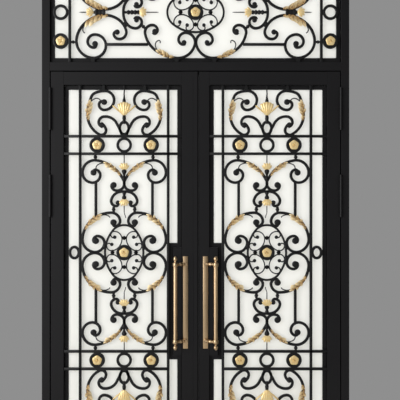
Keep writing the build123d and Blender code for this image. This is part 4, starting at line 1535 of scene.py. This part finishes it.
class ENTRANCE_OT_weather_seals(bpy.types.Operator):
    """Close the gaps round the sashes and between the leaves with rubber"""

    bl_idname = "entrance_door.weather_seals"
    bl_label = "Weather seals"

    def gap(self):
        """The gap between a sash and the stile beside it, in metres."""
        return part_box("left_sash")[0].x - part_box("left_hinge_stile")[1].x

    def band(self, hand, outer, inner, face, depth):
        """A template of a rubber band round a sash, between two reaches from its outer edge."""
        band = open_piece("band")
        for reach in (outer, inner):
            draw_outline(sash_corners(hand, reach * MM, self.gap()), face)
        bpy.ops.mesh.select_all(action="SELECT")
        bpy.ops.mesh.bridge_edge_loops()
        bpy.ops.mesh.select_all(action="SELECT")
        bpy.ops.mesh.extrude_region_move(TRANSFORM_OT_translate={"value": (0, depth * MM, 0)})
        close_piece()
        return band

    def flap(self, hand):
        """The flap on a sash's back that reaches over the gap round it."""
        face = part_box(f"{hand}_sash")[1].y + FLAP_STANDOFF * MM
        return self.band(hand, self.gap() / MM - FLAP_CLEARANCE, -FLAP_LAP, face, FLAP_DEPTH)

    def bead(self, hand):
        """The bead in front of the glass that seals it to its sash."""
        width = bpy.context.scene.ironwork_sizes.sash_width
        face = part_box(f"{hand}_glass")[0].y - BEAD_FRONT * MM
        inner = -BEAD_GLASS_LAP - width
        return self.band(hand, BEAD_SASH_LAP - width, inner, face, BEAD_DEPTH)

    def lip(self, hand, near, far):
        """A lip that stands in the gap between the leaves."""
        low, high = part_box("left_meeting_strip")
        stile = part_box("left_lock_stile")
        middle = (stile[0].y + stile[1].y) / 2 / MM
        lip = open_piece(f"{hand}_meeting_seal")
        front, back = middle - LIP_HALF, middle + LIP_HALF
        draw_block((near / MM, front, low.z / MM), (far / MM, back, high.z / MM), LIP_EDGE)
        close_piece()
        hang(lip, f"{hand}_leaf", finish_of("weather_seal_rubber"), "black_paint")

    def execute(self, context):
        rubber = finish_of("weather_seal_rubber")
        drawn_in_place = Vector((0, 0, 0))
        for hang_up, hand, prefix in (
            (hang_on_leaves, "left", ""),
            (hang_in_transom, "transom", "transom_"),
        ):
            hang_up(self.flap(hand), drawn_in_place, f"{prefix}sash_seal", rubber, "black_paint")
            hang_up(self.bead(hand), drawn_in_place, f"{prefix}glazing_bead", rubber, "black_paint")
        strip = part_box("left_meeting_strip")[1].x
        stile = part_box("right_lock_stile")[0].x
        self.lip("left", strip, strip + LEFT_LIP * (stile - strip))
        self.lip("right", stile - RIGHT_LIP * (stile - strip), stile)
        return {"FINISHED"}


class ENTRANCE_OT_frame_finishes(bpy.types.Operator):
    """Coat the steel frame, leaves, hinges and sashes, and finish the glass"""

    bl_idname = "entrance_door.frame_finishes"
    bl_label = "Frame and glass finishes"

    def execute(self, context):
        for name, part in frame["nodes"].items():
            kind = "opal_glass" if "glass" in name else "powder_coated_steel"
            part.data.materials.clear()
            part.data.materials.append(finish_of(kind))
        return {"FINISHED"}


# ---- stage ----

# The floor and the lamps are in metres.
FLOOR_RADIUS = 1.95
FLOOR_DEPTH = 0.02
# Lamps: (name, place, where it aims, size, share of the key light's power).
LAMPS = (
    ("key_light", (-5.2, -5.4, 2.5), (0, 0, 1.2), (3.4, 3.4), 1),
    ("fill_light", (4.6, -5.2, 1.0), (0, 0, 1.0), (3.0, 2.0), 0.1),
    ("back_light", (2.0, 5.5, 4.2), (0, 0, 1.6), (3.0, 2.4), 0.55),
)
# Width of the camera's sensor, in mm.
SENSOR = 36


class ENTRANCE_OT_studio(bpy.types.Operator):
    """Set up the floor, the soft lights, the backdrop and the camera"""

    bl_idname = "entrance_door.studio"
    bl_label = "Studio"

    def floor(self, colours):
        """A round slab of floor under the door."""
        material, tree, place = blank_material("studio_floor")
        # Fine scuffs, about 20 mm across, keep the floor from looking like a void.
        scuffs = node(tree, "ShaderNodeTexNoise", {"Vector": place, "Scale": 50.0, "Detail": 3.0})
        gloss = node(
            tree, "ShaderNodeMapRange", {"Value": scuffs.outputs[0], "To Min": 0.7, "To Max": 0.85}
        )
        close_material(tree, Base_Color=tuple(colours.floor), Roughness=gloss.outputs[0])
        open_piece("studio_floor")
        bpy.ops.mesh.primitive_circle_add(vertices=96, radius=FLOOR_RADIUS, fill_type="NGON")
        bpy.ops.mesh.extrude_region_move(TRANSFORM_OT_translate={"value": (0, 0, -FLOOR_DEPTH)})
        close_piece()
        floor = bpy.context.object
        floor.data.materials.append(material)

    def lamp(self, name, place, target, size, power):
        """A soft rectangular lamp that aims at a point."""
        bpy.ops.object.light_add(type="AREA", location=place)
        lamp = bpy.context.object
        lamp.name = name
        lamp.data.shape = "RECTANGLE"
        lamp.data.size, lamp.data.size_y = size
        lamp.data.energy = power
        lamp.rotation_euler = (Vector(target) - Vector(place)).to_track_quat("-Z", "Y").to_euler()

    def room(self, colours, strength):
        """A room that lights the door evenly, with a plain backdrop."""
        world = bpy.data.worlds.new("studio_room")
        bpy.context.scene.world = world
        world.use_nodes = True
        tree = world.node_tree
        tree.nodes.clear()
        path = node(tree, "ShaderNodeLightPath")
        seen = node(
            tree,
            "ShaderNodeMath",
            {0: path.outputs["Is Camera Ray"], 1: path.outputs["Is Transmission Ray"]},
            operation="ADD",
            use_clamp=True,
        )
        # Glossy surfaces mirror a room that is bright on the left and dark on the right.
        side = node(
            tree,
            "ShaderNodeSeparateXYZ",
            {0: node(tree, "ShaderNodeTexCoord").outputs["Generated"]},
        )
        shine = node(
            tree,
            "ShaderNodeMapRange",
            {
                "Value": side.outputs[0],
                "From Min": -1.0,
                "From Max": 0.4,
                "To Min": 1.35,
                "To Max": 0.01,
            },
        )
        light = node(tree, "ShaderNodeBackground", {"Color": (1, 1, 1, 1), "Strength": strength})
        mirrored_room = node(
            tree, "ShaderNodeBackground", {"Color": (1, 1, 1, 1), "Strength": shine.outputs[0]}
        )
        backdrop = node(
            tree, "ShaderNodeBackground", {"Color": tuple(colours.backdrop), "Strength": 1.0}
        )
        glossy = path.outputs["Is Glossy Ray"]
        lit = node(
            tree,
            "ShaderNodeMixShader",
            {0: glossy, 1: light.outputs[0], 2: mirrored_room.outputs[0]},
        )
        mix = node(
            tree,
            "ShaderNodeMixShader",
            {0: seen.outputs[0], 1: lit.outputs[0], 2: backdrop.outputs[0]},
        )
        node(tree, "ShaderNodeOutputWorld", {"Surface": mix.outputs[0]})

    def execute(self, context):
        settings = context.scene.studio_settings
        colours = context.scene.door_finishes
        context.scene.view_settings.view_transform = "Standard"
        self.floor(colours)
        self.room(colours, settings.sky_strength)
        for name, place, target, size, share in LAMPS:
            self.lamp(name, place, target, size, settings.key_power * share)

        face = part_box("left_hinge_stile")[0].y
        place = (settings.view_side, face - settings.view_distance, settings.view_height)
        bpy.ops.object.camera_add(location=place, rotation=(pi / 2, 0, 0))
        camera = bpy.context.object
        camera.name = "photo_camera"
        camera.data.sensor_width = SENSOR
        camera.data.lens = SENSOR * settings.view_distance / settings.view_width
        context.scene.camera = camera
        return {"FINISHED"}


# ---- panel ----


class ENTRANCE_PT_door(bpy.types.Panel):
    """Steps that dress the entrance door"""

    bl_idname = "ENTRANCE_PT_door"
    bl_label = "Entrance door"
    bl_space_type = "VIEW_3D"
    bl_region_type = "UI"
    bl_category = "Door"

    def draw(self, context):
        for step in STEPS:
            self.layout.operator(step.bl_idname)
        for group in GROUPS:
            settings = getattr(context.scene, group)
            box = self.layout.box()
            for name in settings.bl_rna.properties.keys():
                if name not in ("rna_type", "name"):
                    box.prop(settings, name)


STEPS = (
    ENTRANCE_OT_frame_finishes,
    ENTRANCE_OT_weather_seals,
    ENTRANCE_OT_scrollwork,
    ENTRANCE_OT_turned_stems,
    ENTRANCE_OT_gilt_foliage,
    ENTRANCE_OT_gilt_flowers,
    ENTRANCE_OT_rosettes,
    ENTRANCE_OT_pull_handles,
    ENTRANCE_OT_studio,
)
GROUPS = {
    "ironwork_sizes": IronworkSizes,
    "gilding_sizes": GildingSizes,
    "door_finishes": DoorFinishes,
    "studio_settings": StudioSettings,
}


def register():
    """Register the settings, the steps and the panel."""
    for group in (*GROUPS.values(), *STEPS, ENTRANCE_PT_door):
        bpy.utils.register_class(group)
    for name, group in GROUPS.items():
        setattr(bpy.types.Scene, name, bpy.props.PointerProperty(type=group))


def unregister():
    """Remove the settings, the steps and the panel."""
    for name in GROUPS:
        delattr(bpy.types.Scene, name)
    for group in reversed((*GROUPS.values(), *STEPS, ENTRANCE_PT_door)):
        bpy.utils.unregister_class(group)


def main():
    """Dress the door step by step."""
    register()
    bpy.ops.entrance_door.frame_finishes()
    bpy.ops.entrance_door.weather_seals()
    bpy.ops.entrance_door.scrollwork()
    bpy.ops.entrance_door.turned_stems()
    bpy.ops.entrance_door.gilt_foliage()
    bpy.ops.entrance_door.gilt_flowers()
    bpy.ops.entrance_door.rosettes()
    bpy.ops.entrance_door.pull_handles()
    bpy.ops.entrance_door.studio()


if __name__ == "__main__":
    main()
